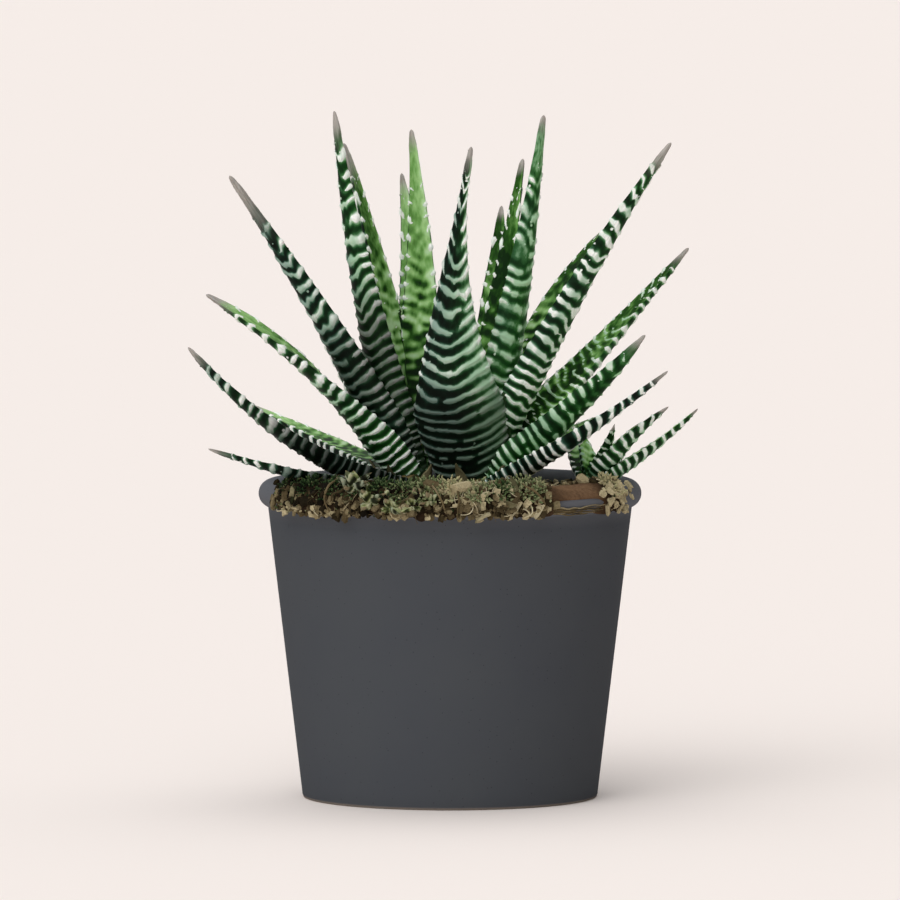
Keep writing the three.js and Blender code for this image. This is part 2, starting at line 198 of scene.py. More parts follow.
class Draw:
    """A repeatable draw, the same one that places the litter of the solids."""

    def __init__(self, seed: int) -> None:
        """Starts the draw at a seed."""
        self.state = seed

    def __call__(self) -> float:
        """Returns the next number, from 0 to 1."""
        self.state = (self.state * DRAW_FACTOR + DRAW_STEP) % DRAW_SPAN
        return self.state / DRAW_SPAN

    def within(self, low: float, high: float) -> float:
        """Returns the next number, from low to high."""
        return low + (high - low) * self()


@dataclass
class Surface:
    """A mesh in millimetres, with values at its points for a finish to read."""

    points: Array
    faces: list[tuple[int, ...]]
    values: dict[str, Array] = field(default_factory=dict)

    @staticmethod
    def joined(parts: list["Surface"]) -> "Surface":
        """Joins surfaces that hold the same values into one.

        Args:
            parts: The surfaces.

        Returns:
            One surface with all their points and faces.
        """
        starts = np.cumsum([0] + [len(part.points) for part in parts])
        faces = [tuple(k + start for k in face) for part, start in zip(parts, starts) for face in part.faces]
        values = {name: np.concatenate([part.values[name] for part in parts]) for name in parts[0].values}
        return Surface(np.concatenate([part.points for part in parts]), faces, values)

    @staticmethod
    def tube(rings: Array, values: dict[str, Values] | None = None) -> "Surface":
        """Skins a row of rings and closes both ends to a point in their middle.

        Args:
            rings: Points by ring and by place round it.
            values: Numbers by ring and place, or by either alone.

        Returns:
            The closed surface, facing out where rings run anticlockwise along their own axis.
        """
        count, places = rings.shape[:2]
        ring, place = np.meshgrid(np.arange(count - 1), np.arange(places), indexing="ij")
        beside = (place + 1) % places
        quads = np.stack([ring, ring, ring + 1, ring + 1], -1) * places
        quads += np.stack([place, beside, beside, place], -1)
        faces = [tuple(quad) for quad in quads.reshape(-1, 4).tolist()]
        start, last = count * places, (count - 1) * places
        faces += [(start, (k + 1) % places, k) for k in range(places)]
        faces += [(start + 1, last + k, last + (k + 1) % places) for k in range(places)]
        held = {}
        for name, grid in (values or {}).items():
            grid = np.broadcast_to(grid, (count, places))
            held[name] = np.append(grid.reshape(-1), [grid[0].mean(), grid[-1].mean()])
        points = np.concatenate([rings.reshape(-1, 3), [rings[0].mean(0)], [rings[-1].mean(0)]])
        return Surface(points, faces, held)

    def to_object(self, name: str) -> Object:
        """Makes a Blender object of the surface, in metres and with smooth shading.

        Args:
            name: The object's name.

        Returns:
            The object, linked to the scene.
        """
        mesh = bpy.data.meshes.new(name)
        mesh.from_pydata((self.points * MM).tolist(), [], self.faces)
        for key, numbers in self.values.items():
            mesh.attributes.new(key, "FLOAT", "POINT").data.foreach_set("value", numbers.astype(np.float32))
        mesh.shade_smooth()
        made = bpy.data.objects.new(name, mesh)
        bpy.context.scene.collection.objects.link(made)
        return made


def add_node(tree: Tree, kind: str, settings: dict | None = None, links: dict | None = None,
             output: str | int | None = None) -> Socket | None:
    """Adds a shader node with its settings and links.

    Args:
        tree: The node tree.
        kind: The node's type, without the leading ShaderNode.
        settings: Values by property, or by an input's name or number; "stops" fills a colour ramp.
        links: Output sockets by the name or number of the input that they feed.
        output: Which of the node's outputs is wanted, where it isn't the usual one.

    Returns:
        That output socket, if the node has any.
    """
    node = tree.nodes.new("ShaderNode" + kind)
    for key, value in (settings or {}).items():
        if key == "stops":
            elements = node.color_ramp.elements
            for _ in value[2:]:
                elements.new(1.0)
            for element, (position, code) in zip(elements, value):
                element.position = position
                element.color = linear(code)
        elif isinstance(key, str) and hasattr(node, key):
            setattr(node, key, value)
        else:
            node.inputs[key].default_value = value
    for key, source in (links or {}).items():
        tree.links.new(source, node.inputs[key])
    return node.outputs[USUAL_OUTPUT.get(kind, 0) if output is None else output] if node.outputs else None


@dataclass(frozen=True)
class Finish:
    """What every finish has: a name and the shader's plain values. By itself it is one even colour."""

    name: str
    roughness: float
    specular: float
    colour: str = "#808080"
    ior: float = 1.45
    subsurface: float = 0.0

    def feeds(self, tree: Tree) -> dict[str, Socket]:
        """Adds the finish's own nodes and gives what they feed, by the shader's input; here none."""
        return {}

    def build(self) -> Material:
        """Makes the material.

        Returns:
            The material, with its shader fed.
        """
        material = bpy.data.materials.new(self.name)
        material.use_nodes = True
        tree = material.node_tree
        tree.nodes.clear()
        plain = {
            "Base Color": linear(self.colour), "Roughness": self.roughness, "IOR": self.ior,
            "Specular IOR Level": self.specular, "Subsurface Weight": self.subsurface, "Subsurface Scale": MM,
        }
        shader = add_node(tree, "BsdfPrincipled", plain, self.feeds(tree))
        add_node(tree, "OutputMaterial", {}, {"Surface": shader})
        return material


# Seamless background paper, rolled out flat: an even warm off-white with no shine.
BACKGROUND_PAPER = Finish("warm_white_background_paper", roughness=1.0, specular=0.0, colour="#f6ede8")


@dataclass(frozen=True)
class MatteStonewareGlaze(Finish):
    """Stoneware cast in a mould, dipped in an anthracite matte glaze and fired.

    The glaze is smooth and even with hardly a shine. It breaks to a lighter grey over the rolled lip, partly
    where it thins and partly as a painted highlight for the light on the lip; it carries a fine grit of iron
    specks, and stops short of the bare clay underneath.
    """

    name: str = "matte_anthracite_stoneware_glaze"
    roughness: float = 0.85
    specular: float = 0.02
    body: str = "#4a4d51"
    deep: str = "#484b50"
    thin_glaze_and_highlight: str = "#606267"
    speck: str = "#2c2d30"
    clay: str = "#8b8177"
    speck_spacing: float = 1.8
    speck_share: float = 0.55
    cloud_size: float = 22.0
    grit_size: float = 0.35
    grit_depth: float = 0.05

    def feeds(self, tree: Tree) -> dict[str, Socket]:
        """Adds faint clouds, then the lighter lip (thinned glaze with a painted highlight), the specks and
        the bare clay over them, and the grit.

        Args:
            tree: The material's node tree.

        Returns:
            What feeds the shader, by its input.
        """
        add = partial(add_node, tree)
        place = add("TexCoord")
        lip, bare = (add("Attribute", {"attribute_name": key}) for key in ("lip", "bare"))
        cloud = add("TexNoise", {"Scale": 1 / (self.cloud_size * MM), "Detail": 3.0}, {"Vector": place})
        grit = add("TexNoise", {"Scale": 1 / (self.grit_size * MM), "Detail": 2.0}, {"Vector": place})
        dots = add("TexVoronoi", {"Scale": 1 / (self.speck_spacing * MM)}, {"Vector": place})
        spot = {"From Min": 0.07, "From Max": 0.1, "To Min": self.speck_share, "To Max": 0.0}
        specks = add("MapRange", spot, {"Value": dots})
        colour = add("ValToRGB", {"stops": [(0.3, self.deep), (0.7, self.body)]}, {"Fac": cloud})
        # The lip is painted a lighter grey: partly the glaze thinning, and partly a painted highlight for the
        # light on it.
        for shown, over in ((lip, self.thin_glaze_and_highlight), (specks, self.speck), (bare, self.clay)):
            colour = add("Mix", {**COLOUR_MIX, MIX_B: linear(over)}, {0: shown, MIX_A: colour})
        uneven = {"To Min": self.roughness - 0.06, "To Max": self.roughness + 0.08}
        return {
            "Base Color": colour,
            "Roughness": add("MapRange", uneven, {"Value": grit}),
            "Normal": add("Bump", {"Strength": 0.12, "Distance": self.grit_depth * MM}, {"Height": grit}),
        }


@dataclass(frozen=True)
class WaxyLeafSkin(Finish):
    """Living succulent leaf, grown, with a thin wax bloom and raised pearly bands.

    The rounded back is nearly black between the bands and turns softly to teal or mint beside them. The
    hollow inner face is a fresher green, even towards the tip and mottled lower down, and it is painted
    darker low down, as painted shade in the centre of the rosette. The right side of some leaves is painted
    paler, as painted light. The tip has dried to a grey brown, and the lower part of old and low leaves is
    painted dull and dark, partly ageing and partly painted shade. The bands are chalky and rougher than the
    skin.
    """

    name: str = "waxy_zebra_leaf_skin"
    roughness: float = 0.5
    specular: float = 0.09
    ior: float = 1.42
    subsurface: float = 0.04
    pit_teal: str = "#07110a"
    pit_green: str = "#0a2a0a"
    shade_teal: str = "#12291c"
    shade_green: str = "#1b4a1c"
    teal: str = "#35584a"
    leaf_green: str = "#43793f"
    pale_teal: str = "#8aa396"
    pale_mint: str = "#aed6ac"
    inner_pit: str = "#072604"
    inner_low: str = "#265214"
    inner_mid: str = "#6b9c50"
    inner_high: str = "#9ac47f"
    inner_pale: str = "#bcdbac"
    base: str = "#3d5b33"
    aged_and_shaded: str = "#060b06"
    band_low: str = "#cfdccf"
    band_high: str = "#fbfcf8"
    dry_low: str = "#7b766f"
    dry_high: str = "#b4afa9"
    mottle_size: float = 2.4
    streak_size: float = 0.9
    streak_squeeze: float = 0.2
    pore_size: float = 0.22
    pore_depth: float = 0.04
    band_edge: tuple[float, float] = (0.46, 0.66)
    chalkier: float = 0.25

    def feeds(self, tree: Tree) -> dict[str, Socket]:
        """Adds the patterns, the colours that they show, and the layers from the skin up to its darkening,
        partly ageing and partly painted shade.

        Args:
            tree: The material's node tree.

        Returns:
            What feeds the shader, by its input.
        """
        add = partial(add_node, tree)
        # Ripple, white, mint and fresh also carry painted light on the right side of some leaves; fresh and
        # the darkening value carry painted shade low in the rosette.
        keys = "band ripple inner fresh rise dry age white mint tone across_mm along_mm"
        read = {key: add("Attribute", {"attribute_name": key}) for key in keys.split()}
        flat = add("CombineXYZ", {}, {"X": read["across_mm"], "Y": read["along_mm"], "Z": read["tone"]})
        squeeze = {"operation": "MULTIPLY", 1: (1.0, self.streak_squeeze, 1.0)}
        long = add("VectorMath", squeeze, {0: flat})
        for made, size, detail, over in (
            ("mottle", self.mottle_size, 3.0, flat), ("streak", self.streak_size, 4.0, long),
            ("pores", self.pore_size, 2.0, flat),
        ):
            read[made] = add("TexNoise", {"Scale": 1 / size, "Detail": detail}, {"Vector": over})
        for made, weight, whole in (("rising", 0.75, "ripple"), ("soft", 0.6, "fresh")):
            mottled = {0: read["mottle"], 2: read[whole]}
            read[made] = add("Math", {"operation": "MULTIPLY_ADD", 1: weight}, mottled)
        for made, by, *stops in (
            ("young", "soft", (0.3, self.inner_pit), (0.52, self.inner_low), (0.8, self.inner_mid),
             (1.02, self.inner_high), (1.3, self.inner_pale)),
            ("chalk", "streak", (0.3, self.band_low), (0.6, self.band_high)),
            ("withered", "streak", (0.3, self.dry_low), (0.65, self.dry_high)),
        ):
            top = max(1.0, stops[-1][0])
            share = add("MapRange", {"From Max": top}, {"Value": read[by]})
            stops = [(spot / top, code) for spot, code in stops]
            read[made] = add("ValToRGB", {"stops": stops}, {"Fac": share})
        # Each layer: its name, the colour under it and the one over it, what shows it, from, to, how far.
        for made, under, over, by, low, high, top in (
            ("ground", self.teal, self.leaf_green, "mint", 0.0, 1.0, 1.0),
            ("beside", self.pale_teal, self.pale_mint, "mint", 0.0, 1.0, 1.0),
            ("pit", self.pit_teal, self.pit_green, "mint", 0.2, 1.0, 1.0),
            ("shade", self.shade_teal, self.shade_green, "mint", 0.2, 1.0, 1.0),
            ("back", "pit", "shade", "rising", 0.34, 0.72, 1.0),
            ("back", "back", "ground", "rising", 0.66, 1.02, 1.0),
            ("back", "back", "beside", "rising", 0.94, 1.32, 0.95),
            ("skin", "back", "young", "inner", 0.0, 1.0, 1.0),
            ("skin", "skin", self.base, "rise", 0.1, 0.0, 0.6),
            ("pearl", "beside", "chalk", "white", 0.25, 0.85, 1.0),
            ("skin", "skin", "pearl", "band", *self.band_edge, 1.0),
            ("skin", "skin", "withered", "dry", 0.0, 1.0, 1.0),
            # Ageing and painted shade: the lower part of a leaf is darkened to near black, partly with ageing
            # and partly as painted shade in the centre of the rosette.
            ("skin", "skin", self.aged_and_shaded, "age", 0.0, 1.0, 0.9),
        ):
            shown = add("MapRange", {"From Min": low, "From Max": high, "To Max": top}, {"Value": read[by]})
            plain, fed = {}, {0: shown}
            for key, colour in ((MIX_A, under), (MIX_B, over)):
                if colour in read:
                    fed[key] = read[colour]
                else:
                    plain[key] = linear(colour)
            read[made] = add("Mix", {**COLOUR_MIX, **plain}, fed)
        low, high = self.band_edge
        chalky = {"From Min": low, "From Max": high, "To Min": self.roughness,
                  "To Max": self.roughness + self.chalkier}
        pores = {"Strength": 0.25, "Distance": self.pore_depth * MM}
        return {
            "Base Color": read["skin"],
            "Roughness": add("MapRange", chalky, {"Value": read["band"]}),
            "Normal": add("Bump", pores, {"Height": read["pores"]}),
        }


@dataclass(frozen=True)
class LitterFinish(Finish):
    """A dry plant litter: its colour runs over a few tones from piece to piece, with a grain along each."""

    roughness: float = 0.85
    specular: float = 0.1
    tones: tuple[tuple[float, str], ...] = ()
    grain_size: float = 0.5
    grain_depth: float = 0.12
    shade: float = 0.45
    shadow: str = "#1d130c"

    def feeds(self, tree: Tree) -> dict[str, Socket]:
        """Adds the tones, the grain that roughens them, and a painted shade that darkens them where the grain
        is low.

        Args:
            tree: The material's node tree.

        Returns:
            What feeds the shader, by its input.
        """
        add = partial(add_node, tree)
        place = add("TexCoord")
        fine = {"Scale": 1 / (self.grain_size * MM), "Detail": 5.0, "Roughness": 0.65}
        grain = add("TexNoise", fine, {"Vector": place})
        tone = add("Attribute", {"attribute_name": "tone"})
        colour = add("ValToRGB", {"stops": list(self.tones)}, {"Fac": tone})
        # Painted shade: the colour is darkened in the low spots of the grain, the hollows of its bump.
        low = {"From Min": 0.3, "From Max": 0.62, "To Min": self.shade, "To Max": 0.0}
        grain_shade = add("MapRange", low, {"Value": grain})
        darker = {**COLOUR_MIX, "blend_type": "MULTIPLY", MIX_B: linear(self.shadow)}
        return {
            "Base Color": add("Mix", darker, {0: grain_shade, MIX_A: colour}),
            "Normal": add("Bump", {"Strength": 0.7, "Distance": self.grain_depth * MM}, {"Height": grain}),
        }


POTTING_MIX = LitterFinish(
    # Peat and composted bark, sieved and moist: a red-brown crumb that swallows light between its lumps.
    name="peat_and_bark_potting_mix", roughness=0.95, grain_size=1.1, grain_depth=0.4,
    tones=((0.0, "#150f08"), (0.5, "#4f3b29"), (1.0, "#765b43")),
)
PINE_BARK = LitterFinish(
    # Pine bark, chipped and composted: flat flakes from near black through red brown to a weathered tan.
    name="composted_pine_bark", roughness=0.9,
    tones=((0.0, "#120d05"), (0.3, "#2e2615"), (0.55, "#564a33"), (0.8, "#897c5d"), (1.0, "#bdb08c")),
)
DRY_ROOT = LitterFinish(
    # Dead roots, dried in the air: pale tan threads, a little glossier than the bark.
    name="dried_root_fibre", roughness=0.75, grain_size=0.35, grain_depth=0.05, shade=0.3,
    tones=((0.0, "#2c2413"), (0.4, "#6a5c40"), (0.75, "#9b8e6f"), (1.0, "#cfc4a3")),
)
PAPERY_LEAF_BASE = LitterFinish(
    # Spent leaf bases, withered on the plant: papery scales from olive to straw.
    name="withered_leaf_base", roughness=0.7, grain_size=0.6, grain_depth=0.06, shade=0.35,
    tones=((0.0, "#23260f"), (0.4, "#56523a"), (0.75, "#8b8262"), (1.0, "#bbb090")),
)
CUSHION_MOSS = LitterFinish(
    # Cushion moss, grown on the litter: leafy shoots, dark green where moist, then olive and straw.
    name="cushion_moss", roughness=0.8, grain_size=0.5, grain_depth=0.05, shade=0.35,
    tones=((0.0, "#0a1508"), (0.25, "#2a4020"), (0.5, "#68774e"), (0.75, "#999c74"), (1.0, "#b9ae86")),
)
CORKY_STEM = LitterFinish(
    # Old haworthia stem, grown and hardened: dull cork with the scars of shed leaves.
    name="corky_old_stem", grain_size=0.7, grain_depth=0.1, tones=((0.0, "#5a4c2e"), (1.0, "#9a8a5c")),
)
# Buds that have half dried on the warm lip: the leaf's skin, bleached from green to a dull olive.
HALF_DRIED_SKIN = WaxyLeafSkin(
    name="half_dried_bud_skin", pit_teal="#14160c", pit_green="#171a0c", shade_teal="#2c3020",
    shade_green="#353b1e", teal="#5c6450", leaf_green="#6d7547", pale_teal="#8f9680", pale_mint="#aaac85",
    inner_pit="#171a0c", inner_low="#3a421f", inner_mid="#6d7547", inner_high="#979c70",
    inner_pale="#b5b590", base="#6a6a48", band_low="#84866c", band_high="#b4b492", dry_low="#5a513e",
    dry_high="#8b7f62",
)


@dataclass
class Piece:
    """A made object with its finish, its slot and the nodes of the solids that it stands for."""

    made: Object
    material: Material
    slot: Slot
    stands_for: tuple[str, ...] = ()

    def dress(self) -> None:
        """Applies the finish, makes the frame's calls and reports the piece."""
        self.made.data.materials.clear()
        self.made.data.materials.append(self.material)
        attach(self.made, BODY)
        if self.stands_for:
            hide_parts(*self.stands_for)
        LOG.info("%s: %d faces, %s", self.made.name, len(self.made.data.polygons), self.material.name)


@dataclass
class Pot:
    """The tapered round pot with its thick rolled lip."""

    height: float = 83
    rim_radius: float = 50
    lip_height: float = 7
    body_top_radius: float = 47.5
    foot_radius: float = 38.6
    foot_round: float = 0.8
    wall: float = 3.6
    floor: float = 4
    wall_steps: int = 24

    @property
    def lip_round(self) -> float:
        """The radius of the lip's roll."""
        return self.lip_height / 2

    @property
    def mouth_radius(self) -> float:
        """The radius of the opening, inside the lip."""
        return self.rim_radius - self.lip_height

    def outline(self, grow: float, arc_steps: int) -> Array:
        """Traces the wall from the foot up, over the lip and down inside.

        Args:
            grow: How far to move every wall outwards.
            arc_steps: How many steps each 80 degrees of the lip's roll takes.

        Returns:
            Radius and height, point by point.
        """
        round_, bend, shoulder = self.lip_round, self.foot_round, self.height - self.lip_height
        angles = np.linspace(-math.pi / 3, math.pi, arc_steps * 3 + 1)
        middle = np.array([self.rim_radius - round_, self.height - round_])
        lip = middle + (round_ + grow) * np.stack([np.cos(angles), np.sin(angles)], -1)
        foot = [
            (self.foot_radius - bend + grow, -grow),
            (self.foot_radius - 0.25 * bend + grow, 0.25 * bend - grow),
            (self.foot_radius + grow, bend),
        ]
        climb = np.linspace(0, 1, self.wall_steps)[1:, None]
        top = np.array([self.body_top_radius + grow, shoulder - grow])
        wall = np.array(foot[-1]) * (1 - climb) + top * climb
        inside = [
            (self.body_top_radius - self.wall - grow, shoulder - self.wall),
            (self.foot_radius - self.wall - grow, self.floor + grow),
        ]
        return np.concatenate([foot, wall, lip, inside])

    def surface(self, grow: float = 0.0, sides: int = 192, arc_steps: int = 14) -> Surface:
        """Turns the outline round the Z axis.

        Args:
            grow: How far to move every wall outwards.
            sides: How many sides the round has.
            arc_steps: How finely the lip is stepped.

        Returns:
            The closed surface, with where the lip is lighter (thinned glaze with a painted highlight) and
            where the clay is bare.
        """
        radius, z = self.outline(grow, arc_steps).T[..., None]
        shoulder = self.height - self.lip_height
        # Marks the lip's lighter grey (thinned glaze with a painted highlight) and the bare clay at the foot.
        thin_glaze_and_highlight, bare = smooth(z, shoulder - 0.6, shoulder + 0.8), smooth(z, 0.7, 0.3)
        return Surface.tube(around(circle(sides), radius, z), {"lip": thin_glaze_and_highlight, "bare": bare})

    def build(self) -> None:
        """Makes the pot in the place of its solid."""
        made = self.surface().to_object("glazed_pot")
        Piece(made, MatteStonewareGlaze().build(), Slot.POT, ("pot",)).dress()


@dataclass(frozen=True)
class Stem:
    """A short stem that stands in the soil and carries the leaves of one rosette."""

    x: float
    y: float
    radius: float
    top: float


@dataclass(frozen=True)
class Leaf:
    """One leaf: where it runs, how wide and thick it is, and how it looks.

    The looks are the length of the dried tip and of the smooth tip without bands, how deep the bands sag
    at the keel, how far apart they stand, how white they are, how far from grey teal to mint the colour
    goes, how much of the bands goes on over the inner face, how much paler the right side is painted, as
    painted light, how far the bands have broken up into mottles, how bright the green between them is, how
    dark the lower part is painted, partly ageing and partly painted shade, how dark the foot is painted, as
    painted shade in the centre of the rosette, and how far up, and how much fresher the green of the inner
    face is.
    """

    start: float
    via: tuple[float, float, float]
    tip: tuple[float, float, float]
    width: float
    thick: float
    roll: float = 0.0
    twist: float = 0.0
    widest: float = 0.2
    taper: float = 0.8
    dry: float = 5.0
    plain: float = 7.0
    smile: float = 0.35
    pitch: float = 1.0
    white: float = 0.55
    mint: float = 0.55
    wrap: float = 0.0
    painted_light_right: float = 0.2
    broken: float = 0.0
    bright: float = 0.0
    age: float = 0.0
    painted_heart_shade: float = 0.0
    painted_heart_shade_top: float = 0.36
    green: float = 0.0


MOTTLED_PUP = {"dry": 1, "plain": 2, "white": 0, "mint": 1, "painted_light_right": 0.9, "broken": 0.5}
BANDED_PUP = {"dry": 2, "plain": 3, "white": 0.35, "mint": 0.8}
STEMS = {
    "left": Stem(-10.5, 5, 4.6, 92),
    "right": Stem(7.6, -4, 4.6, 92),
    "pup": Stem(37, -9, 2.8, 86.5),
}
LEAVES = {
    "left": (
        Leaf(85, (-22.2, -1, 130), (-30.2, -3, 179.4), 12, 5, roll=25, dry=7, plain=9, white=0.25, mint=0.5,
             painted_heart_shade=0.85, painted_heart_shade_top=0.62),
        Leaf(89, (-7.8, 14, 130), (-10.2, 22, 173.5), 12.5, 4.6, plain=16, mint=0.9, bright=0.12, painted_heart_shade=0.4),
        Leaf(87, (-17, 10, 128), (-27.9, 18, 170.1), 12.5, 4.6, dry=8, plain=10, mint=0.75, painted_heart_shade=0.6),
        Leaf(86, (-9.5, 25, 124), (-12.8, 36, 161.4), 12, 4.8),
        Leaf(83, (-31, -5, 121.5), (-57.2, -18, 163.2), 12.6, 5, roll=20, dry=13, plain=16, white=0.1,
             mint=0.0, painted_light_right=0.1, painted_heart_shade=0.75, painted_heart_shade_top=0.6),
        Leaf(84, (-2, 33, 107), (3, 54, 132), 12, 4.8),
        Leaf(84, (-28, 24, 112.5), (-45, 38, 143.8), 12, 4.8),
        Leaf(81.5, (-34.5, -2, 109.8), (-63.7, 2, 131.2), 13.5, 4.8, roll=45, twist=-90, dry=6, plain=8,
             mint=0.8),
        Leaf(82, (-12, 38, 91), (-14, 62, 108), 11.5, 4.8),
        Leaf(81, (-40, -9, 93.3), (-67.9, -20, 118.8), 11.5, 5, pitch=0.85, white=0.1, mint=0.1, wrap=0.9,
             painted_light_right=0.0, age=0.95),
        Leaf(81, (-34, 29, 91), (-54, 44, 100), 11, 4.6),
        Leaf(80, (-36, -21, 85.2), (-62.4, -34, 93.4), 10, 3.8, dry=4, white=0.1, mint=0.0, wrap=0.8,
             painted_light_right=0.0, age=0.9),
    ),
    "right": (
        Leaf(87, (16.9, -5, 127.4), (24.4, -10, 178.6), 13.5, 4.6, roll=-30, dry=4, plain=15, white=0.3,
             mint=1.0, painted_light_right=0.3, broken=0.5, bright=0.3),
        Leaf(89, (12.8, 7, 124), (19.1, 16, 166.1), 12, 4.6, dry=3, plain=9, mint=0.9, bright=-0.3, painted_heart_shade=0.3,
             green=-0.15),
        Leaf(87, (11, 16, 121), (13.6, 28, 153.2), 12, 4.6, dry=3, mint=0.7, bright=-0.3, painted_heart_shade=0.3,
             green=-0.1),
        Leaf(81, (0.8, -15, 119.5), (5.5, -24, 171), 24, 6.4, widest=0.29, taper=1.45, smile=0.8, white=0.2,
             mint=0.35, painted_light_right=0.7, painted_heart_shade=0.72, painted_heart_shade_top=0.44),
        Leaf(83, (32, -9, 130.8), (57.4, -14, 171.6), 12, 4.6, roll=-30, dry=7, white=0.6, mint=0.75, painted_light_right=0.5,
             wrap=0.7, bright=0.14, green=-0.3),
        Leaf(84, (15, 27, 116), (17, 44, 149), 12, 4.8),
        Leaf(84, (26, 20, 125), (44, 34, 148.6), 12, 4.8, bright=-0.25),
        Leaf(82, (35, 3, 112), (62.4, 6, 143.2), 14, 5, roll=35, twist=-20, pitch=0.8, white=0.4, mint=0.85,
             painted_light_right=0.6, wrap=0.7, green=-0.2),
        Leaf(82, (14, 36, 97), (22, 62, 117), 12, 4.8),
        Leaf(82, (29, 24, 106), (46, 40, 121.4), 12, 4.8),
        Leaf(80.5, (32.5, -12, 102.4), (50.7, -17, 121.8), 12, 4.8, roll=-30, dry=4, plain=8, pitch=0.85,
             white=0.05, mint=1.0, painted_light_right=0.5, broken=0.4, bright=0.1),
        Leaf(81, (28, 28, 90.5), (43, 47, 97.4), 11, 4.6),
        Leaf(80, (34, -20, 96.4), (56.4, -26, 113), 9.5, 4.4, dry=4, plain=5, white=0.8, mint=0.3, wrap=0.5),
    ),
    "pup": (
        Leaf(84, (40.4, -11, 91), (42.8, -14, 98.5), 5.6, 2.6, **MOTTLED_PUP),
        Leaf(84, (35.2, -6, 91), (33, -3, 98), 5.6, 2.6, **MOTTLED_PUP),
        Leaf(83, (46.6, -14, 94.4), (56.7, -19, 103.3), 8.4, 3.4, **BANDED_PUP),
        Leaf(82.5, (51.5, -10, 91.4), (64.5, -10, 102.2), 8, 3.4, **BANDED_PUP),
        Leaf(82.5, (44, 2, 90.4), (50, 12, 97), 8, 3.4, dry=2, plain=3),
        Leaf(82.5, (33, 1, 91), (31, 10, 98), 7.6, 3.2, dry=2, plain=3),
    ),
}


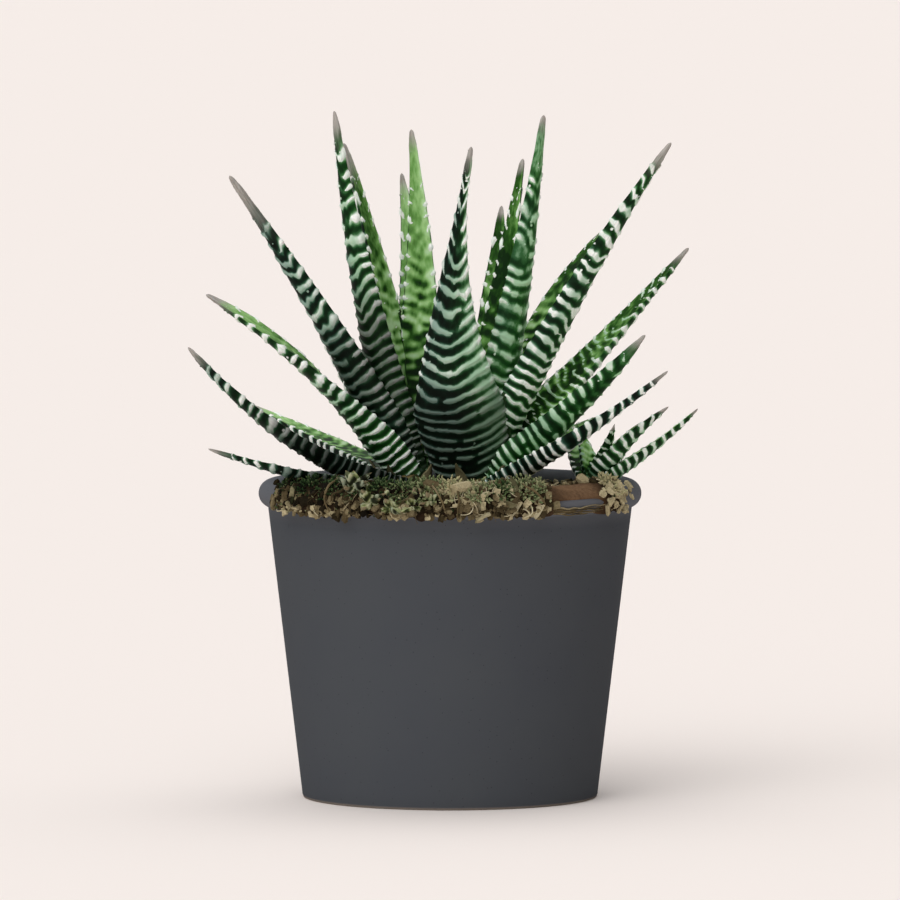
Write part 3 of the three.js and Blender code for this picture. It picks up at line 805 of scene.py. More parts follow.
@dataclass
class LeafForm:
    """The shape of one leaf, with its bands, and the room that the leaves round it leave for it."""

    stem: Stem
    leaf: Leaf
    seed: int
    usual_width: float = 12
    section_middle: float = 0.4
    hollow: float = 0.14
    margin_round: float = 0.07
    stem_share: float = 0.8
    tip_width: float = 0.9
    tip_thickness: float = 0.8
    tip_fullness: float = 0.155
    tip_round: float = 1.5
    tip_blunt: float = 0.66
    ring_step: float = 0.36
    band_shares: tuple[float, ...] = (0.0, 0.15, 0.35, 0.6, 0.85)
    band_pitches: tuple[float, ...] = (2.0, 2.5, 3.3, 4.1, 4.7)
    band_half: float = 0.225
    band_height: float = 0.36
    band_sway: float = 0.42
    band_waver: float = 0.2
    band_slip: float = 0.34
    ripple_middle: float = 0.42
    dot_density: float = 0.022
    dot_radius: tuple[float, float] = (0.24, 0.46)
    inner_dot: float = 0.7
    lump_height: float = 0.14
    wrinkle_depth: float = 0.1
    dry_ragged: float = 1.5
    inner_shift: float = 30.0
    room_rings: int = 10
    room: float = 0.45

    def __post_init__(self) -> None:
        """Works out the centre line and the way that the back faces."""
        leaf = self.leaf
        self.base = np.array([self.stem.x, self.stem.y, leaf.start], float)
        self.tip = np.array(leaf.tip, float)
        self.pull = 2 * np.array(leaf.via, float) - (self.base + self.tip) / 2
        self.chord = unit(self.tip - self.base)
        away = self.chord * [1, 1, 0]
        lean = np.linalg.norm(away)
        self.across = np.cross(np.append(away[:2] / lean * self.chord[2], -lean), self.chord)
        steps = np.linspace(0, 1, 400)
        walk = np.linalg.norm(np.diff(self.centre(steps), axis=0), axis=1)
        lengths = np.append(0, np.cumsum(walk))
        self.length = float(lengths[-1])
        self.along_mm = np.linspace(0, self.length, max(12, round(self.length / self.ring_step)) + 1)
        self.shares = np.interp(self.along_mm, lengths, steps)

    def centre(self, share: Array) -> Array:
        """Gives the centre line's points at shares of its run."""
        t = np.asarray(share, float)[:, None]
        return (1 - t) ** 2 * self.base + 2 * t * (1 - t) * self.pull + t * t * self.tip

    def sideways(self, share: Array) -> tuple[Array, Array]:
        """Gives the directions to the side and out of the back.

        Args:
            share: Shares of the centre line's run.

        Returns:
            The two directions at each share.
        """
        t = share[:, None]
        along = unit((1 - t) * (self.pull - self.base) + t * (self.tip - self.pull))
        angle = np.radians(self.leaf.roll + self.leaf.twist * t)
        side = self.across * np.cos(angle) + np.cross(self.chord, self.across) * np.sin(angle)
        side = unit(side - along * (side * along).sum(-1, keepdims=True))
        return side, np.cross(along, side)

    def spread(self, share: Array) -> Array:
        """Gives the width's share: narrow at the stem, widest a little way up, then an even taper."""
        taper = np.clip((1 - share) / (1 - self.leaf.widest), 0, 1) ** self.leaf.taper
        return (self.stem_share + (1 - self.stem_share) * smooth(share, 0, self.leaf.widest)) * taper

    def place(self, share: Array, across: Array, outward: Array, widen: float = 0.0, lift: Values = 0.0,
              full: Array | None = None, close: Values = 1.0) -> Array:
        """Places the section's points in space.

        Args:
            share: Shares of the run, one to a ring.
            across: Shares of half the width, one to a place round the ring.
            outward: Shares of the thickness, likewise.
            widen: What is added to half the width.
            lift: What is added outwards.
            full: The width that each ring of a grown tip keeps.
            close: A share that draws each ring in.

        Returns:
            The points, by ring and place.
        """
        side, out = self.sideways(share)
        wide, thick = self.leaf.width * self.spread(share), self.leaf.thick * self.spread(share)
        if full is None:
            wide, thick = np.maximum(wide, self.tip_width), np.maximum(thick, self.tip_thickness)
        else:
            wide = (wide**3 + full**3) ** (1 / 3) * close
            thick = (thick**3 + (0.75 * full) ** 3) ** (1 / 3) * close
        over = (across * (wide / 2 + widen)[:, None])[..., None]
        lifted = ((outward - self.section_middle) * thick[:, None] + lift)[..., None]
        return self.centre(share)[:, None] + side[:, None] * over + out[:, None] * lifted

    def clearance(self) -> Surface:
        """Makes the smooth form that later leaves are cut to clear.

        Returns:
            The closed surface.
        """
        across = np.array([1, 0.64, 0, -0.64, -1, 0])
        outward = np.array([0, 0.74, 1, 0.74, 0, self.hollow])
        lift = np.where(outward > 0.5, self.room, -0.8 * self.room)
        share = np.linspace(0, 1, self.room_rings + 1)
        return Surface.tube(self.place(share, across, outward, 2 * self.room, lift))

    def bands(self, angle: Array, is_inner: Array) -> tuple[Array, Array, Array]:
        """Draws the raised bands.

        Each band sags at the keel and waves across the back, its two halves slip past each other, and it
        breaks into beads and dots towards the tip. On the inner face only the beads of the margins and
        soft pale ripples are left, unless the leaf's bands wrap over it.

        Args:
            angle: Angles round the section, one to a place.
            is_inner: Whether each place is on the inner face.

        Returns:
            The crest, 1 on a band's line, 0 at its edge and less outside; the ripple, which falls softly
            from 1 on that line to 0 halfway to the next; and the margin, 1 along the leaf's two edges.
        """
        leaf, seed, share, mm = self.leaf, self.seed, self.shares[:, None], self.along_mm[:, None]
        size = min(1.0, (leaf.width / self.usual_width) ** 0.75) * leaf.pitch
        pitch = np.interp(self.shares, self.band_shares, self.band_pitches) * size
        run = np.append(0, np.cumsum(np.diff(self.along_mm) / pitch[1:]))[:, None]
        pitch, across = pitch[:, None], np.cos(angle)[None]
        half = np.maximum(leaf.width * self.spread(share), self.tip_width) / 2
        coarse = noise_at(across * 1.1 + 9, mm / 9, 3.3, seed)
        fine = noise_at(across * 3.2 + 5, mm / 4, 7.7, seed + 1)
        slip = noise_at(0.0, mm / 6, 1.1, seed + 2)
        sag = leaf.smile * (0.5 * across**2 + 0.5 * np.abs(across))
        phase = run - sag + self.band_sway * coarse + self.band_waver * fine
        phase = phase + self.band_slip * slip * np.tanh(5 * across)
        index = np.floor(phase)
        arc = angle[None] * half
        bead = noise_at(arc / 1.1, index * 5.17, 0.0, seed + 3)
        gap = noise_at(arc / 2.2, index * 3.31, 0.5, seed + 4)
        breaks = 0.6 - 0.55 * smooth(share, 0.5, 0.95) - 0.3 * smooth(share, 0.2, 0.02)
        breaks = breaks - leaf.broken * smooth(share, 0.1, 0.4)
        inset = (1 - np.abs(across)) * half
        margin = smooth(inset, 1.5, 0.4)
        present = np.maximum(smooth(breaks - gap, 0.0, 0.2), 0.9 * margin)
        tip_end = smooth(self.length - mm, 0.75 * leaf.plain, 1.25 * leaf.plain)
        ends = smooth(mm, 1.2, 5) * tip_end
        inside = np.where(is_inner[None], np.maximum(smooth(inset, 1.3, 0.5), leaf.wrap), 1.0)
        thick = self.band_half * pitch * (0.84 + 0.5 * bead) * present * ends * inside
        line = 1 - np.abs(phase - index - 0.5) * pitch / np.maximum(thick, 1e-3)
        crest = np.maximum(line, self.dots(angle, half, is_inner) - 2 * (1 - ends))
        ripple = (0.5 + 0.5 * np.cos(TURN * (phase - 0.5))) * (0.45 + 0.55 * present)
        return crest, self.ripple_middle + (ripple - self.ripple_middle) * tip_end, margin

    def dots(self, angle: Array, half: Array, is_inner: Array) -> Array:
        """Scatters single round beads between the bands.

        Args:
            angle: Angles round the section, one to a place.
            half: Half the width at each ring.
            is_inner: Whether each place is on the inner face, which has smaller beads.

        Returns:
            1 in the middle of a bead, 0 at its edge and less outside.
        """
        draw, crest = Draw(self.seed * 7 + 1), np.array(-1.0)
        smaller = np.where(is_inner, self.inner_dot, 1.0)
        for _ in range(round(self.length * self.leaf.width * self.dot_density)):
            turn, spot = draw.within(0, TURN), draw.within(5, self.length)
            off = np.hypot((angle - turn) * half, self.along_mm[:, None] - spot)
            crest = np.maximum(crest, 1 - off / (draw.within(*self.dot_radius) * smaller))
        return crest

    def blade(self) -> Surface:
        """Makes the leaf with its bands in relief.

        Returns:
            The closed surface, with what the leaf skin reads at its points.
        """
        leaf, seed, share = self.leaf, self.seed, self.shares
        mm, up = self.along_mm[:, None], self.shares[:, None]
        outer = int(np.clip(round(leaf.width * 2.2), 16, 46))
        inner = int(np.clip(round(leaf.width * 1.1), 10, 22))
        back = np.linspace(0, math.pi, outer + 1)[:-1]
        angle = np.append(back, np.linspace(math.pi, TURN, inner + 1)[:-1])
        across, is_inner = np.cos(angle), angle >= math.pi - 1e-6
        hollow = self.hollow * (1 - across**2) - self.margin_round * np.sqrt(np.clip(1 - across**8, 0, 1))
        outward = np.where(is_inner, hollow, np.sin(angle))
        to_end = np.clip((self.length - self.along_mm) / self.tip_round, 0, 1)
        point = np.sqrt(np.clip(1 - (1 - to_end) ** 2, 0.01, 1))
        swell = self.tip_blunt + (1 - self.tip_blunt) * smooth(self.length - self.along_mm, 0, 5.5)
        full = min(self.tip_fullness * leaf.width, 1.9) * swell
        rings = self.place(share, across, outward, full=full, close=point)
        line, ripple, margin = self.bands(angle, is_inner)
        normal = unit(np.cross(np.roll(rings, -1, 1) - np.roll(rings, 1, 1), np.gradient(rings, axis=0)))
        normal *= np.sign(((rings - self.centre(share)[:, None]) * normal).sum(-1).mean())
        size = min(1.0, (leaf.width / self.usual_width) ** 0.5)
        crest = self.band_height * size * smooth(line, 0.0, 0.85)
        dry = self.length - mm + self.dry_ragged * noise(rings / 2.2, seed + 6)
        dry = smooth(dry, leaf.dry * 1.9, leaf.dry * 0.35) ** 1.8
        wrinkles = self.wrinkle_depth * dry * (0.6 + noise(rings / 0.8, seed + 8))
        lumps = self.lump_height * noise(rings / 5.0, seed + 7) - wrinkles
        rings = rings + normal * ((crest + lumps) * point[:, None])[..., None]
        # Painted light: the right side of a leaf is painted paler, with a lighter ripple, whiter and mintier
        # bands and a fresher green. On the upper part, the bands on the right get painted white glints.
        rightward = self.sideways(share)[0][:, :1] * across
        painted_lit_side = smooth(rightward, 0.05, 0.95)
        lit = 0.6 * leaf.painted_light_right * smooth(rightward, 0.0, 0.7) * smooth(up, 0.4, 0.62)
        patch = noise(rings / 7.0, seed + 9)
        wide, tall = across * leaf.width / 2 * self.spread(up) / 1.6, mm / 2.0
        fresh = 0.6 + leaf.bright + leaf.green + 0.3 * noise_at(wide * 0.32, tall * 0.12, 0.0, seed + 10)
        # Painted light: a fresher green on the right side.
        fresh = fresh + 0.25 * (painted_lit_side - 0.3)
        mottles = 0.5 * noise_at(wide, tall, 0.0, seed + 11) + 0.65 * (ripple - self.ripple_middle)
        # Mottles lower down, and painted shade: the green is painted darker low down, in the centre of the
        # rosette.
        fresh += smooth(up, 0.9, 0.3) * mottles - 0.6 * smooth(up, 0.42, 0.1)
        # Painted shade: the foot of some leaves is painted dark in the centre of the rosette.
        painted_heart_dark = leaf.painted_heart_shade * smooth(up, leaf.painted_heart_shade_top, 0.65 * leaf.painted_heart_shade_top)
        return Surface.tube(rings, {
            "band": 0.5 + 0.5 * np.clip(line, -1, 1),
            # Painted light: the ripple is painted lighter on the right side.
            "ripple": np.clip(ripple + leaf.bright + leaf.painted_light_right * (painted_lit_side - 0.25), 0, 1),
            "inner": np.where(is_inner, smooth(1 - np.abs(across), 0.0, 0.12), 0.0),
            "fresh": np.clip(fresh, 0, 1),
            # Darkening of the lower part: partly ageing, and partly painted shade in the centre of the
            # rosette.
            "age": np.maximum(leaf.age * smooth(up, 0.85, 0.45), painted_heart_dark),
            "rise": up,
            "dry": dry,
            # Painted light: the bands are painted whiter on the right side, with painted glints on the upper
            # part.
            "white": np.clip(leaf.white + 0.5 * patch + 0.5 * margin + 0.12 * rightward + lit, 0, 1),
            # Painted light: the colour is painted mintier on the right side.
            "mint": np.clip(leaf.mint + 0.3 * patch + 0.5 * rightward, 0, 1),
            "across_mm": across * leaf.width / 2 + np.where(is_inner, self.inner_shift, 0.0),
            "along_mm": mm,
            "tone": (seed * GOLDEN) % 1 * 20,
        })


@dataclass
class Knife:
    """Cuts a made object clear of other closed forms and keeps its largest body."""

    forms: list[Surface]
    crease: float = 55

    def cut(self, surface: Surface, name: str) -> Object:
        """Makes the object and cuts it with the forms whose boxes meet its own.

        Args:
            surface: What is cut.
            name: The object's name.

        Returns:
            The cut object, with the values of its surface kept.
        """
        made = surface.to_object(name)
        low, high = surface.points.min(0), surface.points.max(0)
        near = [form for form in self.forms
                if (form.points.min(0) < high).all() and (form.points.max(0) > low).all()]
        knives = [form.to_object(f"{name}_knife_{i}") for i, form in enumerate(near)]
        for knife in knives:
            trim = made.modifiers.new("trim", "BOOLEAN")
            trim.operation = "DIFFERENCE"
            trim.solver = "MANIFOLD"
            trim.object = knife
        bpy.context.view_layer.update()
        cut = bpy.data.meshes.new_from_object(made.evaluated_get(bpy.context.evaluated_depsgraph_get()))
        made.modifiers.clear()
        whole, made.data = made.data, cut
        for mesh in (whole, *(knife.data for knife in knives)):
            bpy.data.meshes.remove(mesh)
        self.keep_largest(cut)
        cut.name = name
        return made

    def keep_largest(self, mesh: bpy.types.Mesh) -> None:
        """Removes every loose scrap but the largest body, and creases the cut edges.

        Args:
            mesh: The cut mesh.
        """
        work = bmesh.new()
        work.from_mesh(mesh)
        bodies, seen = [], set()
        for start in work.verts:
            if start in seen:
                continue
            body, fresh = {start}, {start}
            while fresh:
                fresh = {edge.other_vert(vert) for vert in fresh for edge in vert.link_edges} - body
                body |= fresh
            seen |= body
            bodies.append(body)
        scraps = [vert for body in sorted(bodies, key=len)[:-1] for vert in body]
        bmesh.ops.delete(work, geom=scraps, context="VERTS")
        work.to_mesh(mesh)
        work.free()
        mesh.set_sharp_from_angle(angle=math.radians(self.crease))


@dataclass
class Rosettes:
    """The leaves of the three rosettes, and the stems that carry them."""

    pot: Pot
    gap: float = 0.3
    stem_depth: float = 16
    soil_level: float = 80
    scar_depth: float = 0.16
    scar_pitch: float = 1.7

    def stem_surface(self, stem: Stem, grow: float = 0.0, sides: int = 32, rows: int = 60) -> Surface:
        """Makes a stem: a slim post with a domed top and the ringed scars of shed leaves.

        Args:
            stem: Its place and size.
            grow: How far to move its wall outwards; a grown stem has no scars.
            sides: How many sides it has.
            rows: How many rings it has.

        Returns:
            The closed surface.
        """
        radius, top = stem.radius + grow, stem.top + grow
        foot = self.soil_level - self.stem_depth - grow
        heights = [foot, self.soil_level, stem.top - radius * 0.8, stem.top - radius * 0.2 + grow, top]
        z = np.linspace(foot, top, rows)
        wall = np.interp(z, heights, [radius * 0.7, radius, radius * 0.86, radius * 0.5, 0.02])
        if grow == 0:
            wall = wall - self.scar_depth * (0.5 + 0.5 * np.cos(z * TURN / self.scar_pitch))
        rings = around(circle(sides), np.maximum(wall, 0.02)[:, None], z[:, None]) + [stem.x, stem.y, 0]
        return Surface.tube(rings, {"tone": 0.5 + 0.5 * noise(rings / 2.0, int(stem.x))})

    def build(self) -> None:
        """Makes every stem and leaf in the place of its solid, each leaf clear of what is there already."""
        cork, skin = CORKY_STEM.build(), WaxyLeafSkin().build()
        knife = Knife([self.pot.surface(self.gap, 48, 4)])
        for place, stem in STEMS.items():
            made = self.stem_surface(stem).to_object(f"stem_of_{place}_rosette")
            Piece(made, cork, Slot.STEM, (f"stem_{place}",)).dress()
            knife.forms.append(self.stem_surface(stem, self.gap / 2, 16, 24))
        for place, stem in STEMS.items():
            for number, leaf in enumerate(LEAVES[place], 1):
                node = f"leaf_{place}_{number:02d}"
                form = LeafForm(stem, leaf, seed=17 * len(knife.forms) + 3)
                Piece(knife.cut(form.blade(), f"zebra_{node}"), skin, Slot.LEAF, (node,)).dress()
                knife.forms.append(form.clearance())


def chip_block() -> tuple[Array, list[tuple[int, ...]]]:
    """Makes the block that every chip is worn from: a cube with two faces along each edge.

    Returns:
        Its points, from -1 to 1, and its faces.
    """
    spots = [spot for spot in np.ndindex(3, 3, 3) if spot != (1, 1, 1)]
    faces = []
    for axis, end, i, j in product(range(3), (0, 2), range(2), range(2)):
        corners = [(end, i + di, j + dj) for di, dj in ((0, 0), (1, 0), (1, 1), (0, 1))]
        loop = [spots.index(tuple(corner[(k - axis) % 3] for k in range(3))) for corner in corners]
        faces.append(tuple(loop if end else loop[::-1]))
    return np.array(spots, float) - 1, faces


CHIP_BLOCK = chip_block()


@dataclass
class Soil:
    """Potting mix that fills the pot and spills over the front of its lip, with what lies in it."""

    pot: Pot
    level: float = 80
    heap: float = 0.6
    heap_radius: float = 33
    spill_top: float = 84.8
    spill_foot: float = 78.6
    spill_radius: float = 52.2
    hang: float = 1.9
    bare_angle: float = -0.84
    bare_width: float = 0.19
    bare_crest: float = 0.874
    bare_tuck: float = 1.4
    edge_ragged: float = 0.12
    edge_torn: float = 1.3
    columns: int = 480
    large_chips: int = 26
    large_chip: tuple[float, float, float] = (5.2, 3.4, 2.2)
    small_chips: int = 2300
    small_chip: tuple[float, float] = (0.6, 2.6)
    draped_roots: int = 10
    draped_radius: float = 0.42
    bare_roots: int = 9
    all_roots: int = 340
    root_radius: tuple[float, float] = (0.09, 0.22)
    root_length: tuple[float, float] = (2, 6.5)
    root_low: float = 73.6
    stem_scales: int = 5
    scale_length: float = 11
    scale_width: float = 5.4
    loose_scales: int = 40
    moss_density: float = 12
    stray_shoots: int = 520
    chip_seed: int = 23
    root_seed: int = 37
    scale_seed: int = 51
    moss_seed: int = 71
    crease: float = 28
    # Place along the front, height, reach, and how much paler the litter is painted there: painted light
    # where it is paler, painted shade where it is darker.
    patches: tuple[tuple[float, float, float, float], ...] = (
        (-37, 85, 9, -0.75), (-38, 76, 6, 0.6), (-24, 84, 7, -0.3), (-26, 77, 6, -0.1), (-14, 84, 7, -0.6),
        (-12, 77, 6, 0.35), (3, 86, 7, 0.55), (20, 84, 6, 0.0), (22, 77, 7, 0.5), (42, 80, 9, 1.0),
    )
    # Place along the front, size, and how dry and pale the moss is; the palest tones at the right end also
    # stand as painted light.
    cushions: tuple[tuple[float, float, float], ...] = (
        (-41, 3.4, 0.2), (-36, 4.2, 0.12), (-30, 4.4, 0.2), (-24, 4.2, 0.25), (-18, 4.6, 0.25),
        (-12, 4.4, 0.4), (-6, 5.4, 0.5), (0, 5.2, 0.85), (7, 4.6, 0.6), (13, 4.2, 0.35), (19, 5.4, 0.55),
        (25, 5.0, 0.65), (41, 4.6, 0.95), (44.5, 3.4, 1.0),
    )

    def bare(self, angle: Values) -> Array:
        """Gives how clear of litter the lip is at an angle, from 0 to 1."""
        off = (np.asarray(angle) - self.bare_angle + math.pi) % TURN - math.pi
        return np.exp(-((off / self.bare_width) ** 4))

    def reach(self, angle: Values, crest: float = 0.0) -> Array:
        """Gives how far the soil reaches over the lip at an angle, with a crest left where it is bare."""
        covered = smooth(np.cos(np.asarray(angle) + math.pi / 2), 0.24, 0.54)
        return covered * (1 - (1 - crest) * self.bare(angle))

    def dome(self, radius: Values) -> Values:
        """Gives the height of the heap at a radius."""
        return self.level + self.heap * (1 - (radius / self.heap_radius) ** 2)

    def height(self, x: float, y: float) -> float:
        """Gives the height of the soil at a place.

        Args:
            x: The place to the right.
            y: The place to the back.

        Returns:
            The height there.
        """
        radius = math.hypot(x, y)
        if radius < self.heap_radius:
            return self.dome(radius)
        brow = smooth(radius, self.heap_radius, self.pot.mouth_radius) * (self.spill_top - self.level)
        return self.level + float(self.reach(math.atan2(y, x), self.bare_crest) * brow)

    def profile(self) -> tuple[Array, Array]:
        """Traces the soil's top from the heap outwards, then its underside.

        Returns:
            Radius and height where it is held inside the lip, and where it spills over, point by point.
        """
        wall, level = self.pot.mouth_radius - 0.7, self.level
        top, foot, edge = self.spill_top, self.spill_foot, self.spill_radius
        spilled = np.array([
            (self.heap_radius, level), (37.5, top - 2.6), (41, top - 1.1), (44.6, top - 0.3),
            (47.4, top - 0.5), (49.4, top - 1.4), (50.9, top - 2.9), (edge - 0.9, top - 4.3),
            (edge - 0.9, foot), (edge - 1.6, foot - self.hang), (50.0, foot - 0.4), (50.2, 80.5),
            (48.6, 82.6), (46.5, 83.2), (44.4, 82.5), (43, 80.6), (wall, 78),
        ])
        held = np.array([
            (self.heap_radius, level), (36, level), (38.5, level - 0.1), (40.3, level - 0.3),
            *[(wall - 0.9 + 0.07 * k, level - 0.5 - 0.12 * k) for k in range(13)],
        ])
        return held, spilled

    def bed(self) -> Surface:
        """Makes the bed of soil that the litter lies on.

        Returns:
            The closed surface.
        """
        held, spilled = (along_line(line, np.linspace(0, len(line) - 1, 64)) for line in self.profile())
        angles, foot = circle(self.columns), self.spill_foot
        ragged = noise(around(angles, 6, 0), 4)
        bare, reach = self.bare(angles), self.reach(angles, self.bare_crest)
        reach = np.clip(reach + self.edge_ragged * ragged * (reach > 0.02) * (1 - 0.95 * bare), 0, 1)
        outer = held[:, None] + (spilled - held)[:, None] * reach[None, :, None]
        # Where the lip is bare, the soil ends on it instead of hanging over it.
        outer[..., 0] -= self.bare_tuck * bare * smooth(outer[..., 1], foot + 2.0, foot + 1.2)
        torn = self.edge_torn * noise(around(angles, 14, 0), 9)
        outer[..., 1] += torn * smooth(outer[..., 1], foot + 2, foot) * reach
        middle = np.linspace(0.4, self.heap_radius - 1, 36)
        heap = np.stack([middle, self.dome(middle)], -1)
        deep = np.array([(42, 68), (34.4, 4.5), (0.4, 4.5)])
        heap, deep = (np.repeat(line[:, None], self.columns, 1) for line in (heap, deep))
        rows = np.concatenate([heap, outer, deep])
        rings = around(angles, rows[..., 0], rows[..., 1])
        near_top = smooth(rings[..., 2], foot - 4, foot)
        rough = 0.6 * noise(rings / 3.4, 5) + 0.5 * noise(rings / 1.5, 6) + 0.35 * noise(rings / 0.8, 7)
        rough = rough * (1 - 0.88 * bare)
        flank = smooth(rings[..., 0] ** 2 + rings[..., 1] ** 2, 40**2, 50**2)
        rings[..., 2] += near_top * rough * (1 - 0.5 * flank)
        rings[..., :2] += (0.5 * rough * near_top * flank)[..., None] * unit(rings[..., :2])
        # Painted shade: the bed is painted darker on the spilled flank, where the litter lies over it. Where
        # the lip is bare, the bed keeps a paler tone of its own.
        tone = (0.6 + 0.4 * noise(rings / 4.0, 8)) * (1 - 0.8 * flank * (1 - bare)) + 0.25 * bare
        return Surface.tube(rings[::-1], {"tone": tone[::-1]})

    def build(self) -> None:
        """Makes the bed in the place of its solid, and the litter on it."""
        Piece(self.bed().to_object("soil_bed"), POTTING_MIX.build(), Slot.SOIL, ("soil",)).dress()
        for name, finish, parts in (
            ("bark_chips", PINE_BARK, self.bark_chips()),
            ("dry_roots", DRY_ROOT, self.roots()),
            ("spent_leaf_bases", PAPERY_LEAF_BASE, self.spent_leaves()),
            ("moss_cushions", CUSHION_MOSS, self.moss()),
        ):
            made = Surface.joined(parts).to_object(name)
            made.data.set_sharp_from_angle(angle=math.radians(self.crease))
            Piece(made, finish.build(), Slot.SOIL).dress()

    def lip_spot(self, angle: float, share: float) -> tuple[Array, Array]:
        """Finds a spot on the spilled soil.

        Args:
            angle: The angle round the pot.
            share: How far over the lip, from 0 on the brow to 1 at the hanging edge.

        Returns:
            The spot, and the direction that the surface faces there.
        """
        line = self.profile()[1][1:11]
        lean = share * math.pi * 0.55
        radius, z = along_line(line, share * (len(line) - 1))
        return around(angle, radius, z), around(angle, math.sin(lean), math.cos(lean))

    def spot(self, draw: Draw, lip_share: float, least: float = 0.7) -> tuple[Array, Array]:
        """Draws a spot on the soil.

        Args:
            draw: The draw.
            lip_share: How many of the spots lie on the spilled part.
            least: The least reach over the lip that a spot there needs.

        Returns:
            The spot, and the direction that the surface faces there.
        """
        on_lip = draw() < lip_share
        while on_lip:
            angle = -math.pi * draw.within(0.12, 0.88)
            if self.reach(angle) > least + 0.25 * draw():
                return self.lip_spot(angle, draw())
        radius = (self.pot.mouth_radius - 1.4) * math.sqrt(draw())
        return self.on_top(radius, TURN * draw()), UP

    def on_top(self, radius: float, angle: float) -> Array:
        """Gives the spot on top of the soil at a radius and an angle."""
        x, y = radius * math.cos(angle), radius * math.sin(angle)
        return np.array([x, y, self.height(x, y)])

    def shade(self, spot: Array, tone: float) -> float:
        """Shifts a tone by patches: painted shade where the litter is darker, painted light where it is
        paler.

        Args:
            spot: The place.
            tone: The tone of the piece itself.

        Returns:
            The tone there, from 0 to 1.
        """
        # Painted light and painted shade: each patch makes the litter paler or darker there.
        for x, z, reach, change in self.patches:
            tone += change * math.exp(-((spot[0] - x) ** 2 + 4 * (spot[2] - z) ** 2) / reach**2)
        return min(max(tone, 0.0), 1.0)

    @staticmethod
    def chip(size: Array, centre: Array, turn: Array, tone: float, seed: int) -> Surface:
        """Makes one chip of bark: a block with worn corners and a rough split face.

        Args:
            size: Its three edges.
            centre: Where its middle lies.
            turn: A rotation, as rows of three.
            tone: Its tone, from 0 to 1.
            seed: Which noise wears it.

        Returns:
            The closed surface.
        """
        points, faces = CHIP_BLOCK
        worn = points * (1 - 0.12 * (np.abs(points).sum(1, keepdims=True) - 1.2) / 1.8)
        worn = worn + 0.34 * wobble(points * 1.7, 9, seed)
        values = {"tone": tone + 0.06 * noise(points * 3, seed)}
        return Surface((worn * size / 2) @ turn.T + centre, faces, values)

    def bark_chips(self) -> list[Surface]:
        """Places the bark.

        Returns:
            The large chips of the solids, and small ones all over the bed.
        """
        draw, chips = Draw(self.chip_seed), []
        for i in range(self.large_chips):
            on_lip = i % 2 == 0
            angle = math.pi * (1.08 + 0.84 * draw()) if on_lip else TURN * draw()
            radius = self.pot.mouth_radius - 0.5 + 7.5 * draw() if on_lip else 12 + 26 * draw()
            size = np.array(self.large_chip) * (0.65 + 0.7 * draw()) * 0.8
            tilt, sway, spin = 0.6 * (2 * draw() - 1), 0.6 * (2 * draw() - 1), draw() * math.pi
            centre = self.on_top(radius, angle) + UP * (0.8 * draw() - 0.3)
            if not on_lip or self.reach(angle) > 0.8:
                turn = facing(UP, spin, abs(tilt) * 0.8, sway * 5)
                tone = self.shade(centre, 0.1 + 0.6 * ((i * GOLDEN) % 1))
                chips.append(self.chip(size, centre, turn, tone, 100 + i))
        for i in range(self.small_chips):
            centre, normal = self.spot(draw, 0.42, 0.3 if i % 3 == 0 else 0.7)
            length = draw.within(*self.small_chip) * (1 if draw() < 0.88 else 1.4)
            size = np.array([length, length * draw.within(0.5, 0.85), length * draw.within(0.2, 0.5)])
            turn = facing(normal, draw() * ANY_WAY, draw.within(0, 0.8), draw() * ANY_WAY)
            centre = centre + normal * draw.within(-0.3, 0.55)
            chips.append(self.chip(size, centre, turn, self.shade(centre, draw()), 200 + i))
        return chips

    @staticmethod
    def strand(path: Array, radius: float, tone: float, seed: int, sides: int = 6) -> Surface:
        """Makes one root: a thin wavy strand that tapers.

        Args:
            path: Points that it follows.
            radius: Its radius at the thick end.
            tone: Its tone, from 0 to 1.
            seed: Which noise bends it.
            sides: How many sides it has.

        Returns:
            The closed surface.
        """
        wavy = path + 0.35 * wobble(path / 2.2, 7, seed)
        along = unit(np.gradient(wavy, axis=0))
        thick = radius * (1 - 0.55 * np.linspace(0, 1, len(path))) * (1 + 0.15 * noise(wavy / 1.3, seed + 5))
        rings = wavy[:, None] + spokes(along, [0.3, 0.2, 1.0], circle(sides)) * thick[:, None, None]
        return Surface.tube(rings, {"tone": tone + 0.15 * noise(rings / 3, seed)})

